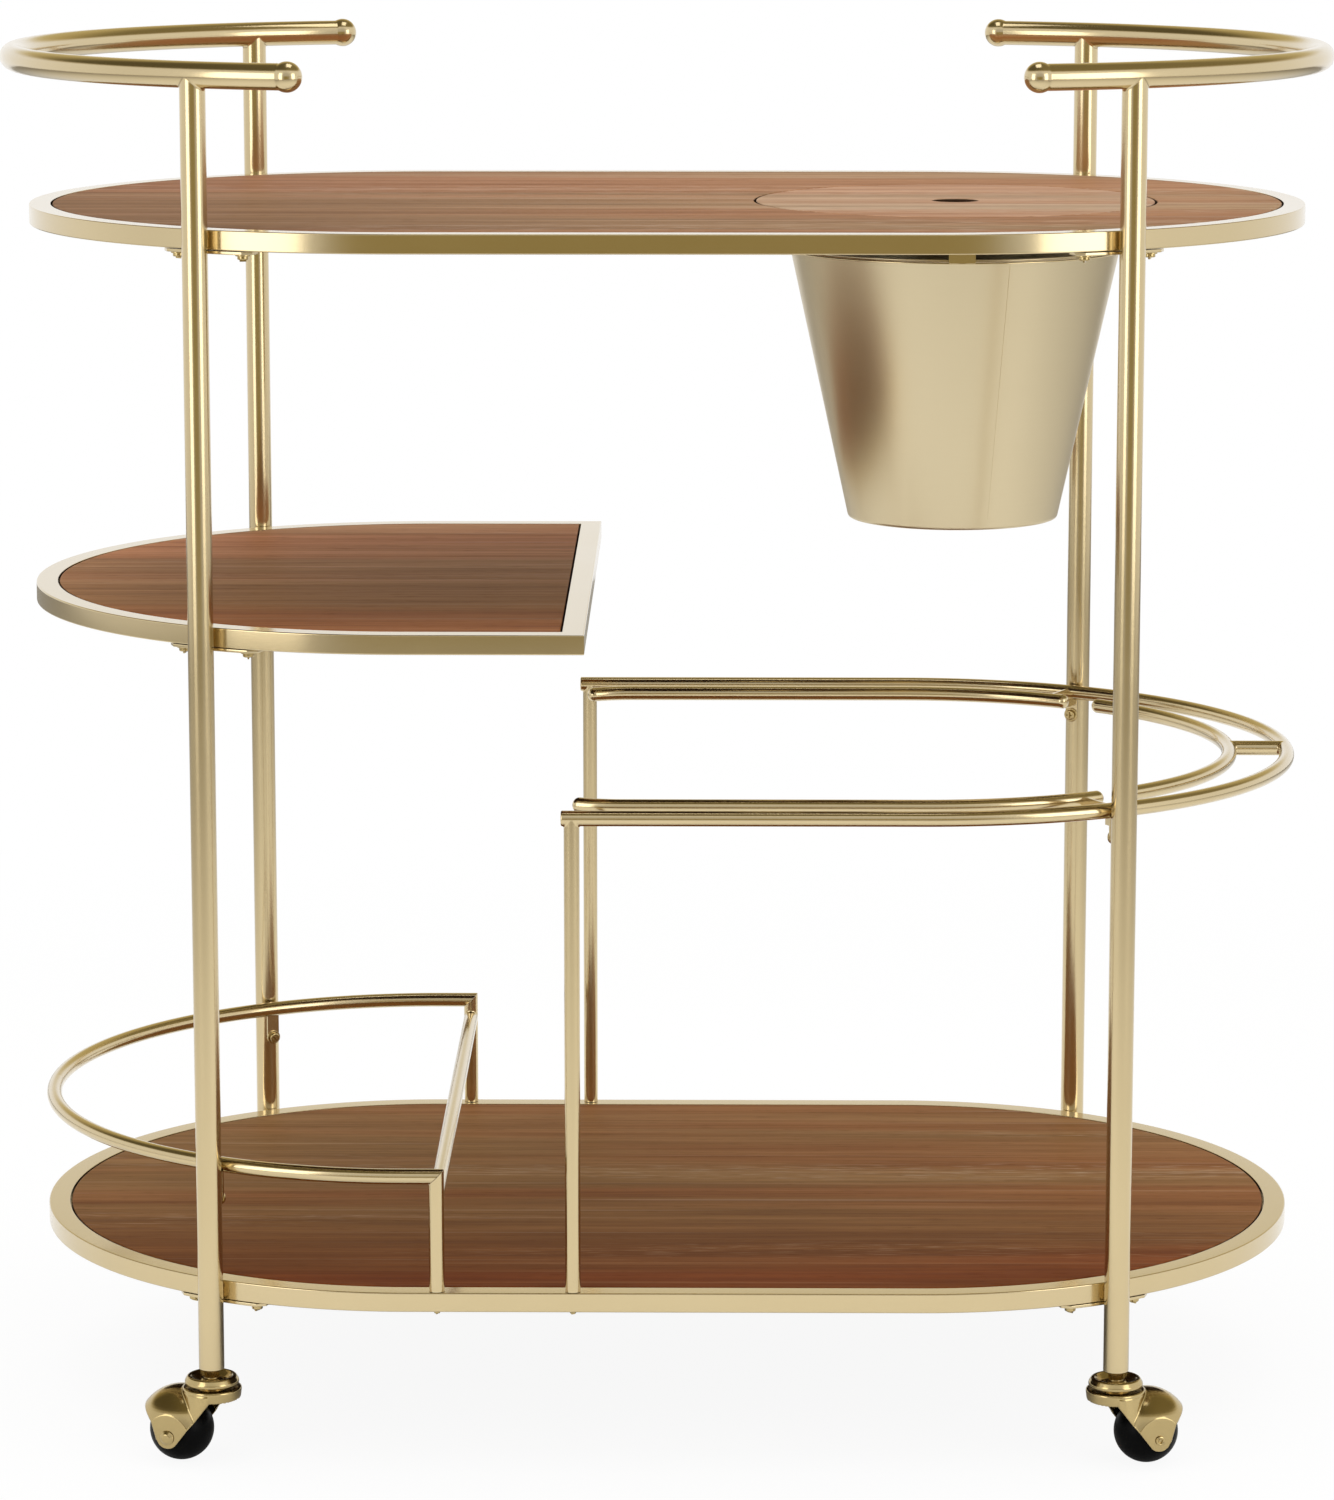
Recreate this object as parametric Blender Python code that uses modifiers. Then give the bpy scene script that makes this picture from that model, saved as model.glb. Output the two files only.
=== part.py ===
"""Rolling oval bar cart: a brass tube frame on ball casters, with three veneered shelves, a rack
for stemmed glasses, a gallery for bottles and a lidded ice bucket hung in the top shelf.

Metres, +Z up. The origin is on the floor under the middle of the cart, and the front is at -Y.
"""

import math

import bmesh
import bpy
from mathutils import Matrix, Vector

# Plan of the cart: every rim, rail and handle is an arc about one of two end centres
END_CENTRE = 0.1575
END_RADIUS = 0.244
POST_ANGLE = math.radians(28.5)
MIDDLE_SHELF_EDGE = -0.047

# Heights above the floor
HANDLE_HEIGHT = 0.851
TOP_SHELF = 0.759
MIDDLE_SHELF = 0.520
BOTTOM_SHELF = 0.114
RACK_HEIGHT = 0.408
GALLERY_HEIGHT = 0.186

# Tube stock and the gap left where two pieces are welded, seated or screwed together
TUBE_RADIUS = 0.008
RAIL_RADIUS = 0.00475
SEAT_GAP = 0.0003

# Push handles
HANDLE_END_ANGLE = math.radians(74.5)
FINIAL_STEP = 0.0012

# Shelves: an L-section rim with a panel resting on its ledge
RIM_WIDTH = 0.0135
RIM_HEIGHT = 0.012
LEDGE_WIDTH = 0.009
LEDGE_THICKNESS = 0.002
PANEL_THICKNESS = 0.010
PANEL_GAP = 0.0008

# Plates under the rims, one at each post that carries a shelf
PLATE_LENGTH = 0.062
PLATE_WIDTH = 0.016
PLATE_THICKNESS = 0.002

# Stemware rack on the right
RACK_UPRIGHT_X = -0.055
RAIL_OVERHANG = 0.0065
STEM_SLOT = 0.027
INNER_RAIL_STOP = math.radians(33.0)
INNER_LOOP_START = math.radians(38.7)
FLARE_LENGTH = 0.030
FLARE_DEPTH = 0.0075
GUSSET_THICKNESS = 0.002
GUSSET_TOP = 0.003
GUSSET_BOTTOM = 0.0042
GUSSET_FOOT = 0.010

# Bottle gallery on the lower left
GALLERY_UPRIGHT_X = -0.138
CROSS_TUBE_DROP = 0.0125

# Tabs that hold a rail to a post
TAB_WIDTH = 0.0085
TAB_THICKNESS = 0.002
TAB_DROP = 0.003
RACK_TAB_LENGTH = 0.018
GALLERY_TAB_LENGTH = 0.022

# Ice bucket, its hanger and its lid
BUCKET_X = 0.182
LID_SEAT = 0.0165
LID_GAP = 0.001
FINGER_RADIUS = 0.0145
BUCKET_TOP_RADIUS = 0.1007
BUCKET_BASE_RADIUS = 0.066
BUCKET_DEPTH = 0.173
BUCKET_WALL = 0.0012
BUCKET_CORNER = 0.006
FLANGE_WIDTH = 0.0075
FLANGE_THICKNESS = 0.0016
HANGER_DROP = 0.019
HANGER_THICKNESS = 0.002
HANGER_GAP = 0.0008
HANGER_LEDGE = 0.013
STRAP_WIDTH = 0.0165
STRAP_CLEARANCE = 0.0023

# Ball casters
WHEEL_RADIUS = 0.0198
WHEEL_HALF_WIDTH = 0.0175
HUB_RADIUS = 0.005
CASTER_TRAIL = 0.0205
TRAIL_ANGLE = math.radians(18.0)
AXLE_RADIUS = 0.002
AXLE_HEAD_RADIUS = 0.0041
AXLE_HEAD_HEIGHT = 0.0022
AXLE_HEAD_SHOULDER = 0.0025
AXLE_SHOULDER_HEIGHT = 0.0017
RUNNING_GAP = 0.0004
HOOD_CLEARANCE = 0.0064
HOOD_WALL = 0.0013
FLANK_HALF_WIDTH = 0.0222
FLANK_RADIUS = 0.0072
FLANK_REAR_ANGLE = math.radians(16.0)
FLANK_FRONT_ANGLE = math.radians(37.6)
DISH_RADIUS = 0.0185
DISH_HEIGHT = 0.0075
DISH_RISE = 0.009
NECK_DROP = 0.0025
NECK_HALF_WIDTH = 0.020
NECK_TURN = math.radians(105.0)
NECK_START = 0.014
NECK_STOP = 0.024
BOWL_RADIUS = 0.0168
BOWL_LIP = 0.0014
BOWL_FLOOR_RADIUS = 0.0105
BOWL_HEIGHT = 0.005
BOWL_DEPTH = 0.0035
RACE_RADIUS = 0.008
RACE_HEIGHT = 0.0018
STEM_RADIUS = 0.0042
STEM_LENGTH = 0.028
STEM_NECK = 0.0035
KINGPIN_RADIUS = 0.003
KINGPIN_HEAD_RADIUS = 0.005
KINGPIN_HEAD_HEIGHT = 0.0015

# Facets
ARC_STEPS = 24
HANDLE_STEPS = 16
CIRCLE_STEPS = 40
TURN_STEPS = 20
WHEEL_STEPS = 16
PLATE_STEPS = 12
SMALL_STEPS = 10
LOOP_STEPS = 16
BEND_STEPS = 6
PLATE_ARC_STEPS = 4
WHEEL_ROUNDS = 6
FINIAL_ROUNDS = 7
FLANK_ROUNDS = 8
TAB_ROUNDS = 6
NECK_STEPS = 8
TUBE_ROUNDING = 4
RAIL_ROUNDING = 3

# Worked out from the sizes above
POST_CIRCLE = END_RADIUS + SEAT_GAP + TUBE_RADIUS
POST_INNER_FACE = POST_CIRCLE - TUBE_RADIUS
FINIAL_RADIUS = TUBE_RADIUS + FINIAL_STEP
RAIL_CIRCLE = END_RADIUS - RAIL_RADIUS
INNER_CIRCLE = RAIL_CIRCLE - STEM_SLOT - 2 * RAIL_RADIUS
PANEL_INSET = RIM_WIDTH + PANEL_GAP
FLANGE_RADIUS = BUCKET_TOP_RADIUS + FLANGE_WIDTH
HATCH_RADIUS = FLANGE_RADIUS + STRAP_CLEARANCE + LID_SEAT
DISH_TOP = 2 * WHEEL_RADIUS + DISH_RISE
BOWL_BOTTOM = DISH_TOP + SEAT_GAP + RACE_HEIGHT
BOWL_TOP = BOWL_BOTTOM + BOWL_HEIGHT
POST_BOTTOM = BOWL_TOP + STEM_NECK
HOOD_INNER_RADIUS = WHEEL_RADIUS + HOOD_CLEARANCE
HOOD_OUTER_RADIUS = HOOD_INNER_RADIUS + HOOD_WALL
FLANK_OUTER = FLANK_HALF_WIDTH + HOOD_WALL

# The four corners: which end of the cart, and front or back
CORNERS = {
    "front_left": (-1, -1),
    "front_right": (1, -1),
    "back_left": (-1, 1),
    "back_right": (1, 1),
}
SIDES = {"front": -1, "back": 1}


def clear_scene():
    for obj in list(bpy.data.objects):
        bpy.data.objects.remove(obj, do_unlink=True)


def new_collection(name):
    collection = bpy.data.collections.new(name)
    bpy.context.scene.collection.children.link(collection)
    return collection


def new_material(name, colour, roughness, metallic):
    material = bpy.data.materials.new(name)
    material.use_nodes = True
    shader = material.node_tree.nodes["Principled BSDF"]
    shader.inputs["Base Color"].default_value = (*colour, 1.0)
    shader.inputs["Roughness"].default_value = roughness
    shader.inputs["Metallic"].default_value = metallic
    return material


clear_scene()
CART = new_collection("oval_bar_cart")
CUTTERS = new_collection("cutters")
GOLD = new_material("champagne_gold", (0.78, 0.63, 0.38), 0.32, 1.0)
BRASS = new_material("polished_brass", (0.72, 0.55, 0.27), 0.22, 1.0)
WALNUT = new_material("walnut_veneer", (0.32, 0.17, 0.10), 0.45, 0.0)
RUBBER = new_material("black_rubber", (0.02, 0.02, 0.02), 0.5, 0.0)


# Placing and finishing objects


def add_object(name, data, material=None):
    """A part when it has a material, and a cutter when it has none."""
    obj = bpy.data.objects.new(name, data)
    if material is None:
        CUTTERS.objects.link(obj)
        obj.hide_render = True
        obj.display_type = "WIRE"
    else:
        CART.objects.link(obj)
        data.materials.append(material)
    return obj


def smooth(obj, angle=35.0):
    obj.data.shade_smooth()
    obj.data.set_sharp_from_angle(angle=math.radians(angle))


def to_mesh(obj):
    """The object's evaluated shape as a plain mesh with welded caps, under the same name."""
    bpy.context.view_layer.update()
    graph = bpy.context.evaluated_depsgraph_get()
    mesh = bpy.data.meshes.new_from_object(obj.evaluated_get(graph))
    work = bmesh.new()
    work.from_mesh(mesh)
    bmesh.ops.remove_doubles(work, verts=work.verts, dist=1e-6)
    work.to_mesh(mesh)
    work.free()
    name = obj.name
    home = obj.users_collection[0]
    solid = bpy.data.objects.new(name + "_solid", mesh)
    home.objects.link(solid)
    solid.matrix_world = obj.matrix_world.copy()
    solid.hide_render = obj.hide_render
    solid.display_type = obj.display_type
    bpy.data.objects.remove(obj, do_unlink=True)
    solid.name = name
    return solid


def combine(obj, other, operation):
    modifier = obj.modifiers.new(operation.lower() + "_" + other.name, "BOOLEAN")
    modifier.operation = operation
    modifier.solver = "EXACT"
    modifier.object = other


def cut(obj, cutter):
    combine(obj, cutter, "DIFFERENCE")


# Shapes


def polar(end, radius, angle):
    """A point at an angle about the centre of the right (1) or left (-1) end."""
    return (end * END_CENTRE + radius * math.cos(angle), radius * math.sin(angle))


def end_arc(end, radius, start, stop, steps=ARC_STEPS):
    return [polar(end, radius, start + (stop - start) * i / steps) for i in range(steps + 1)]


def at_height(points, height):
    return [(x, y, height) for x, y in points]


def corner_angle(end, side):
    """Polar angle of a post about its end centre."""
    return math.atan2(side * math.cos(POST_ANGLE), end * math.sin(POST_ANGLE))


def tube(name, path, radius, material=None):
    """A round bar along a path, with closed ends."""
    curve = bpy.data.curves.new(name, "CURVE")
    curve.dimensions = "3D"
    curve.bevel_depth = radius
    curve.bevel_resolution = TUBE_ROUNDING if radius >= TUBE_RADIUS else RAIL_ROUNDING
    curve.use_fill_caps = True
    spline = curve.splines.new("POLY")
    spline.points.add(len(path) - 1)
    for point, place in zip(spline.points, path):
        point.co = (*place, 1.0)
    return add_object(name, curve, material)


def mesh_tube(name, path, radius, material=None):
    """The same bar as a mesh, for cutting with or being cut."""
    bar = to_mesh(tube(name, path, radius, material))
    smooth(bar)
    return bar


def seat_cutter(name, path, radius):
    """The room that a tube takes out of a piece that is fitted round it."""
    return mesh_tube(name, path, radius + SEAT_GAP)


def flat(name, loops, bottom, thickness, material=None):
    """A flat plate with the given outline, and holes for any further loops."""
    curve = bpy.data.curves.new(name, "CURVE")
    curve.dimensions = "2D"
    curve.fill_mode = "BOTH"
    curve.extrude = thickness / 2
    for loop in loops:
        spline = curve.splines.new("POLY")
        spline.points.add(len(loop) - 1)
        for point, (x, y) in zip(spline.points, loop):
            point.co = (x, y, 0.0, 1.0)
        spline.use_cyclic_u = True
    obj = add_object(name, curve, material)
    obj.location.z = bottom + thickness / 2
    return to_mesh(obj)


def circle(x, radius, steps=CIRCLE_STEPS):
    turn = 2 * math.pi / steps
    return [(x + radius * math.cos(turn * i), radius * math.sin(turn * i)) for i in range(steps)]


def turned(name, profile, material=None, closed=False, steps=TURN_STEPS):
    """A profile of (radius, height) points turned about the object's own Z axis."""
    mesh = bpy.data.meshes.new(name)
    edges = [(i, i + 1) for i in range(len(profile) - 1)]
    if closed:
        edges.append((len(profile) - 1, 0))
    mesh.from_pydata([(radius, 0.0, height) for radius, height in profile], edges, [])
    obj = add_object(name, mesh, material)
    screw = obj.modifiers.new("turn", "SCREW")
    screw.steps = steps
    screw.render_steps = steps
    screw.use_merge_vertices = True
    screw.merge_threshold = 0.00001
    return obj


def disc(name, radius, bottom, top, steps=TURN_STEPS):
    """A plain round cutter or filler about the Z axis."""
    return turned(name, [(0.0, top), (radius, top), (radius, bottom), (0.0, bottom)], steps=steps)


def box(name, size, material=None):
    mesh = bpy.data.meshes.new(name)
    work = bmesh.new()
    bmesh.ops.create_cube(work, size=1.0, matrix=Matrix.Diagonal((*size, 1.0)))
    work.to_mesh(mesh)
    work.free()
    return add_object(name, mesh, material)


def ball(name, radius, steps=TURN_STEPS):
    mesh = bpy.data.meshes.new(name)
    work = bmesh.new()
    bmesh.ops.create_uvsphere(work, u_segments=steps, v_segments=steps // 2, radius=radius)
    work.to_mesh(mesh)
    work.free()
    return add_object(name, mesh)


def aim(direction, x_axis):
    """A rotation whose Z follows a direction and whose X lies near the given axis."""
    z = Vector(direction).normalized()
    y = z.cross(Vector(x_axis)).normalized()
    x = y.cross(z)
    return Matrix((x, y, z)).transposed().to_4x4()


# Frame


def handle_path(end):
    facing = 0.0 if end > 0 else math.pi
    start, stop = facing - HANDLE_END_ANGLE, facing + HANDLE_END_ANGLE
    arc = end_arc(end, POST_CIRCLE, start, stop, HANDLE_STEPS)
    return at_height(arc, HANDLE_HEIGHT)


def make_handles():
    for name, end in (("left", -1), ("right", 1)):
        path = handle_path(end)
        tube(f"handle_{name}", path, TUBE_RADIUS, GOLD)
        ends = {1: (path[-1], path[-2]), -1: (path[0], path[1])}
        for side_name, side in SIDES.items():
            tip, before = ends[side * end]
            make_finial(f"handle_finial_{side_name}_{name}", Vector(tip), Vector(before))


def make_finial(name, tip, before):
    """A ball with a flat seat against the end of the handle tube."""
    outward = (tip - before).normalized()
    seat = math.sqrt(FINIAL_RADIUS**2 - TUBE_RADIUS**2)
    start = math.asin(TUBE_RADIUS / FINIAL_RADIUS)
    turn = (math.pi - start) / FINIAL_ROUNDS
    angles = [start + turn * i for i in range(FINIAL_ROUNDS)]
    curve = [(FINIAL_RADIUS * math.sin(a), -FINIAL_RADIUS * math.cos(a)) for a in reversed(angles)]
    profile = [(0.0, FINIAL_RADIUS)] + curve + [(0.0, -seat)]
    finial = turned(name, profile, GOLD, steps=SMALL_STEPS)
    finial.matrix_world = aim(outward, (0, 0, 1))
    finial.location = tip + outward * (seat + SEAT_GAP)
    smooth(finial)


def make_posts():
    """Tubes with a blind socket for the caster stem and a top coped to fit under the handle."""
    socket_radius = STEM_RADIUS + SEAT_GAP
    socket_top = POST_BOTTOM + STEM_LENGTH + SEAT_GAP
    profile = [
        (0.0, HANDLE_HEIGHT),
        (TUBE_RADIUS, HANDLE_HEIGHT),
        (TUBE_RADIUS, POST_BOTTOM),
        (socket_radius, POST_BOTTOM),
        (socket_radius, socket_top),
        (0.0, socket_top),
    ]
    copes = {end: seat_cutter(f"cope_{end}", handle_path(end), TUBE_RADIUS) for end in (-1, 1)}
    for name, (end, side) in CORNERS.items():
        post = turned(f"post_{name}", profile, GOLD)
        post.location = (*polar(end, POST_CIRCLE, corner_angle(end, side)), 0.0)
        cut(post, copes[end])
        smooth(post)


# Shelves


def shelf_outline(inset, edge=None):
    """The oval, or its left part up to a straight edge, drawn in by an inset."""
    radius = END_RADIUS - inset
    quarter = math.pi / 2
    left = end_arc(-1, radius, quarter, 3 * quarter)
    if edge is None:
        return end_arc(1, radius, -quarter, quarter) + left
    return [(edge - inset, -radius), (edge - inset, radius)] + left


def make_shelf(name, top, edge=None, hatch=None):
    bottom = top - RIM_HEIGHT
    loops = [shelf_outline(0.0, edge), shelf_outline(RIM_WIDTH + LEDGE_WIDTH, edge)]
    rim = flat(f"{name}_shelf_rim", loops, bottom, RIM_HEIGHT, GOLD)
    ledge_top = bottom + LEDGE_THICKNESS
    cut(rim, flat(f"{name}_pocket", [shelf_outline(RIM_WIDTH, edge)], ledge_top, 2 * RIM_HEIGHT))
    smooth(rim)
    loops = [shelf_outline(PANEL_INSET, edge)]
    if hatch:
        loops.append(hatch)
    panel = flat(f"{name}_shelf_panel", loops, ledge_top + SEAT_GAP, PANEL_THICKNESS, WALNUT)
    smooth(panel)


def make_shelf_plates(shelf, top, corners):
    """Curved plates under the rim, tacked to the posts, for the screws into the shelf."""
    outer = POST_INNER_FACE - SEAT_GAP
    inner = outer - PLATE_WIDTH
    half = PLATE_LENGTH / 2 / (END_RADIUS - RIM_WIDTH / 2)
    bottom = top - RIM_HEIGHT - SEAT_GAP - PLATE_THICKNESS
    for name in corners:
        end, side = CORNERS[name]
        middle = corner_angle(end, side)
        outside = end_arc(end, outer, middle - half, middle + half, PLATE_ARC_STEPS)
        inside = end_arc(end, inner, middle + half, middle - half, PLATE_ARC_STEPS)
        flat(f"{shelf}_plate_{name}", [outside + inside], bottom, PLATE_THICKNESS, GOLD)


# Ice bucket


def make_bucket():
    """A rolled wall welded to a pressed base, hung by its flange in a hanger under the lid."""
    panel_bottom = TOP_SHELF - RIM_HEIGHT + LEDGE_THICKNESS + SEAT_GAP
    hanger_top = panel_bottom - SEAT_GAP
    ring_top = hanger_top - HANGER_DROP
    strap_inner = FLANGE_RADIUS + STRAP_CLEARANCE
    strap_outer = strap_inner + HANGER_THICKNESS
    ring_inner = BUCKET_TOP_RADIUS + HANGER_GAP

    ledge = [circle(BUCKET_X, HATCH_RADIUS + HANGER_LEDGE), circle(BUCKET_X, strap_inner)]
    hanger = flat("bucket_hanger", ledge, hanger_top - HANGER_THICKNESS, HANGER_THICKNESS, GOLD)
    ring = [circle(BUCKET_X, strap_outer + HANGER_THICKNESS / 2), circle(BUCKET_X, ring_inner)]
    combine(hanger, flat("hanger_ring", ring, ring_top - HANGER_THICKNESS, HANGER_THICKNESS), "UNION")
    for i in range(4):
        angle = i * math.pi / 2
        strap = box(f"hanger_strap_{i}", (HANGER_THICKNESS, STRAP_WIDTH, HANGER_DROP))
        reach = strap_inner + HANGER_THICKNESS / 2 + SEAT_GAP
        strap.location = (
            BUCKET_X + reach * math.cos(angle),
            reach * math.sin(angle),
            hanger_top - HANGER_THICKNESS / 2 - HANGER_DROP / 2,
        )
        strap.rotation_euler.z = angle
        combine(hanger, strap, "UNION")

    flange_bottom = ring_top + SEAT_GAP
    flange_top = flange_bottom + FLANGE_THICKNESS
    base = flange_bottom - BUCKET_DEPTH
    slope = (BUCKET_TOP_RADIUS - BUCKET_BASE_RADIUS) / BUCKET_DEPTH
    joint = BUCKET_CORNER + BUCKET_WALL
    joint_radius = BUCKET_BASE_RADIUS + slope * joint
    foot = joint + SEAT_GAP
    foot_radius = BUCKET_BASE_RADIUS + slope * foot
    rolled_wall = [
        (foot_radius - BUCKET_WALL, base + foot),
        (BUCKET_TOP_RADIUS - BUCKET_WALL, flange_top),
        (FLANGE_RADIUS, flange_top),
        (FLANGE_RADIUS, flange_bottom),
        (BUCKET_TOP_RADIUS, flange_bottom),
        (foot_radius, base + foot),
    ]
    corner = BUCKET_CORNER * math.sqrt(0.5)
    pressed_base = [
        (0.0, base + BUCKET_WALL),
        (BUCKET_BASE_RADIUS - BUCKET_WALL - BUCKET_CORNER, base + BUCKET_WALL),
        (joint_radius - BUCKET_WALL, base + joint),
        (joint_radius, base + joint),
        (BUCKET_BASE_RADIUS + slope * BUCKET_CORNER, base + BUCKET_CORNER),
        (BUCKET_BASE_RADIUS - BUCKET_CORNER + corner, base + BUCKET_CORNER - corner),
        (BUCKET_BASE_RADIUS - BUCKET_CORNER, base),
        (0.0, base),
    ]
    wall = turned("ice_bucket_wall", rolled_wall, GOLD, True, CIRCLE_STEPS)
    cap = turned("ice_bucket_base", pressed_base, GOLD, steps=CIRCLE_STEPS)
    for piece in (wall, cap):
        piece.location.x = BUCKET_X
        smooth(piece)

    loops = [circle(BUCKET_X, HATCH_RADIUS - LID_GAP), circle(BUCKET_X, FINGER_RADIUS, TURN_STEPS)]
    lid = flat("bucket_lid", loops, panel_bottom, PANEL_THICKNESS, WALNUT)
    smooth(lid)


# Stemware rack


def make_rack():
    quarter = math.pi / 2
    left = RACK_UPRIGHT_X - RAIL_OVERHANG
    arc = end_arc(1, RAIL_CIRCLE, -quarter, quarter)
    outer_path = at_height([(left, -RAIL_CIRCLE)] + arc + [(left, RAIL_CIRCLE)], RACK_HEIGHT)
    loop_stop = quarter - INNER_LOOP_START
    loop_arc = end_arc(1, INNER_CIRCLE, -loop_stop, loop_stop, LOOP_STEPS)
    loop_path = at_height(loop_arc, RACK_HEIGHT)
    tube("rack_outer_rail", outer_path, RAIL_RADIUS, GOLD)
    loop = mesh_tube("rack_inner_loop", loop_path, RAIL_RADIUS, GOLD)
    outer_seat = seat_cutter("rack_outer_seat", outer_path, RAIL_RADIUS)
    ends = [(END_CENTRE + INNER_CIRCLE, 0.0), (END_CENTRE + RAIL_CIRCLE, 0.0)]
    combine(loop, mesh_tube("rack_spacer", at_height(ends, RACK_HEIGHT), RAIL_RADIUS), "UNION")
    cut(loop, outer_seat)

    for name, side in SIDES.items():
        inner_path = at_height(inner_rail_points(side), RACK_HEIGHT)
        tube(f"rack_inner_rail_{name}", inner_path, RAIL_RADIUS, GOLD)
        inner_seat = seat_cutter(f"rack_inner_seat_{name}", inner_path, RAIL_RADIUS)
        foot = (RACK_UPRIGHT_X, side * RAIL_CIRCLE, BOTTOM_SHELF + SEAT_GAP)
        head = (RACK_UPRIGHT_X, side * RAIL_CIRCLE, RACK_HEIGHT)
        upright = mesh_tube(f"rack_upright_{name}", [foot, head], RAIL_RADIUS, GOLD)
        cut(upright, outer_seat)
        bracket = make_tab(f"rack_bracket_{name}", 1, side, RACK_HEIGHT, RACK_TAB_LENGTH)
        combine(bracket, make_gusset(f"rack_gusset_{name}", side), "UNION")
        cut(bracket, outer_seat)
        cut(bracket, inner_seat)


def inner_rail_points(side):
    """From a tip that flares away from the outer rail, along the side and round to the post."""
    points = []
    for i in range(BEND_STEPS):
        left = 1 - i / BEND_STEPS
        x = RACK_UPRIGHT_X + FLARE_LENGTH * (1 - left)
        points.append((x, side * (INNER_CIRCLE - FLARE_DEPTH * left**2)))
    points.append((RACK_UPRIGHT_X + FLARE_LENGTH, side * INNER_CIRCLE))
    start = side * math.pi / 2
    stop = start - side * INNER_RAIL_STOP
    return points + end_arc(1, INNER_CIRCLE, start, stop, BEND_STEPS)


def make_gusset(name, side):
    """A plate on edge from the inner rail to the outer rail, with a foot under it to the tab."""
    outer = POST_INNER_FACE - SEAT_GAP - TAB_THICKNESS / 2
    foot = RAIL_CIRCLE - RAIL_RADIUS - GUSSET_THICKNESS
    outline = [
        (INNER_CIRCLE, GUSSET_TOP),
        (RAIL_CIRCLE, GUSSET_TOP),
        (RAIL_CIRCLE, -TAB_DROP),
        (outer, -TAB_DROP),
        (outer, -GUSSET_FOOT),
        (foot, -GUSSET_FOOT),
        (foot, -GUSSET_BOTTOM),
        (INNER_CIRCLE, -GUSSET_BOTTOM),
    ]
    gusset = flat(name, [outline], -GUSSET_THICKNESS / 2, GUSSET_THICKNESS)
    place = Matrix.Translation((END_CENTRE, 0.0, RACK_HEIGHT))
    turn = Matrix.Rotation(corner_angle(1, side), 4, "Z")
    gusset.matrix_world = place @ turn @ Matrix.Rotation(math.pi / 2, 4, "X") @ gusset.matrix_world
    return gusset


def make_tab(name, end, side, rail_height, length):
    """A flat tab with a round foot under a rail, against the inner face of a post."""
    half = TAB_WIDTH / 2
    turn = math.pi / TAB_ROUNDS
    foot = [(-half * math.cos(turn * i), half - length - half * math.sin(turn * i)) for i in range(TAB_ROUNDS + 1)]
    tab = flat(name, [[(half, 0.0), (-half, 0.0)] + foot], -TAB_THICKNESS / 2, TAB_THICKNESS, GOLD)
    angle = corner_angle(end, side)
    outward = (math.cos(angle), math.sin(angle), 0.0)
    along = (-math.sin(angle), math.cos(angle), 0.0)
    middle = POST_INNER_FACE - SEAT_GAP - TAB_THICKNESS / 2
    place = Matrix.Translation((*polar(end, middle, angle), rail_height - TAB_DROP))
    tab.matrix_world = place @ aim(outward, along) @ tab.matrix_world
    return tab


# Bottle gallery


def make_gallery():
    quarter = math.pi / 2
    spare = 2 * RAIL_RADIUS
    right = GALLERY_UPRIGHT_X + spare
    arc = end_arc(-1, RAIL_CIRCLE, quarter, 3 * quarter)
    path = at_height([(right, RAIL_CIRCLE)] + arc + [(right, -RAIL_CIRCLE)], GALLERY_HEIGHT)
    rail = mesh_tube("gallery_rail", path, RAIL_RADIUS, GOLD)
    cross_height = GALLERY_HEIGHT - CROSS_TUBE_DROP
    cross_path = [(GALLERY_UPRIGHT_X, side * RAIL_CIRCLE, cross_height) for side in (-1, 1)]
    cross_tube = mesh_tube("gallery_cross_tube", cross_path, RAIL_RADIUS, GOLD)
    rail_seat = seat_cutter("gallery_rail_seat", path, RAIL_RADIUS)
    for name, side in SIDES.items():
        corner = Vector((GALLERY_UPRIGHT_X, side * RAIL_CIRCLE, GALLERY_HEIGHT))
        cut(rail, mitre_cutter(f"gallery_rail_mitre_{name}", corner, 1))
        foot = (corner.x, corner.y, BOTTOM_SHELF + SEAT_GAP)
        head = (corner.x, corner.y, corner.z + spare)
        upright = mesh_tube(f"gallery_upright_{name}", [foot, head], RAIL_RADIUS, GOLD)
        cut(upright, mitre_cutter(f"gallery_upright_mitre_{name}", corner, -1))
        cut(cross_tube, seat_cutter(f"gallery_upright_seat_{name}", [foot, head], RAIL_RADIUS))
        tab = make_tab(f"gallery_tab_{name}", -1, side, GALLERY_HEIGHT, GALLERY_TAB_LENGTH)
        cut(tab, rail_seat)


def mitre_cutter(name, corner, keep):
    """A block whose face is the mitre plane; 1 trims the level tube and -1 the upright."""
    block = 8 * RAIL_RADIUS
    normal = Vector((keep, 0.0, -keep)).normalized()
    cutter = box(name, (block, block, block))
    cutter.rotation_euler.y = math.pi / 4
    cutter.location = corner + normal * (block / 2 - SEAT_GAP / 2)
    return cutter


# Casters


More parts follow.
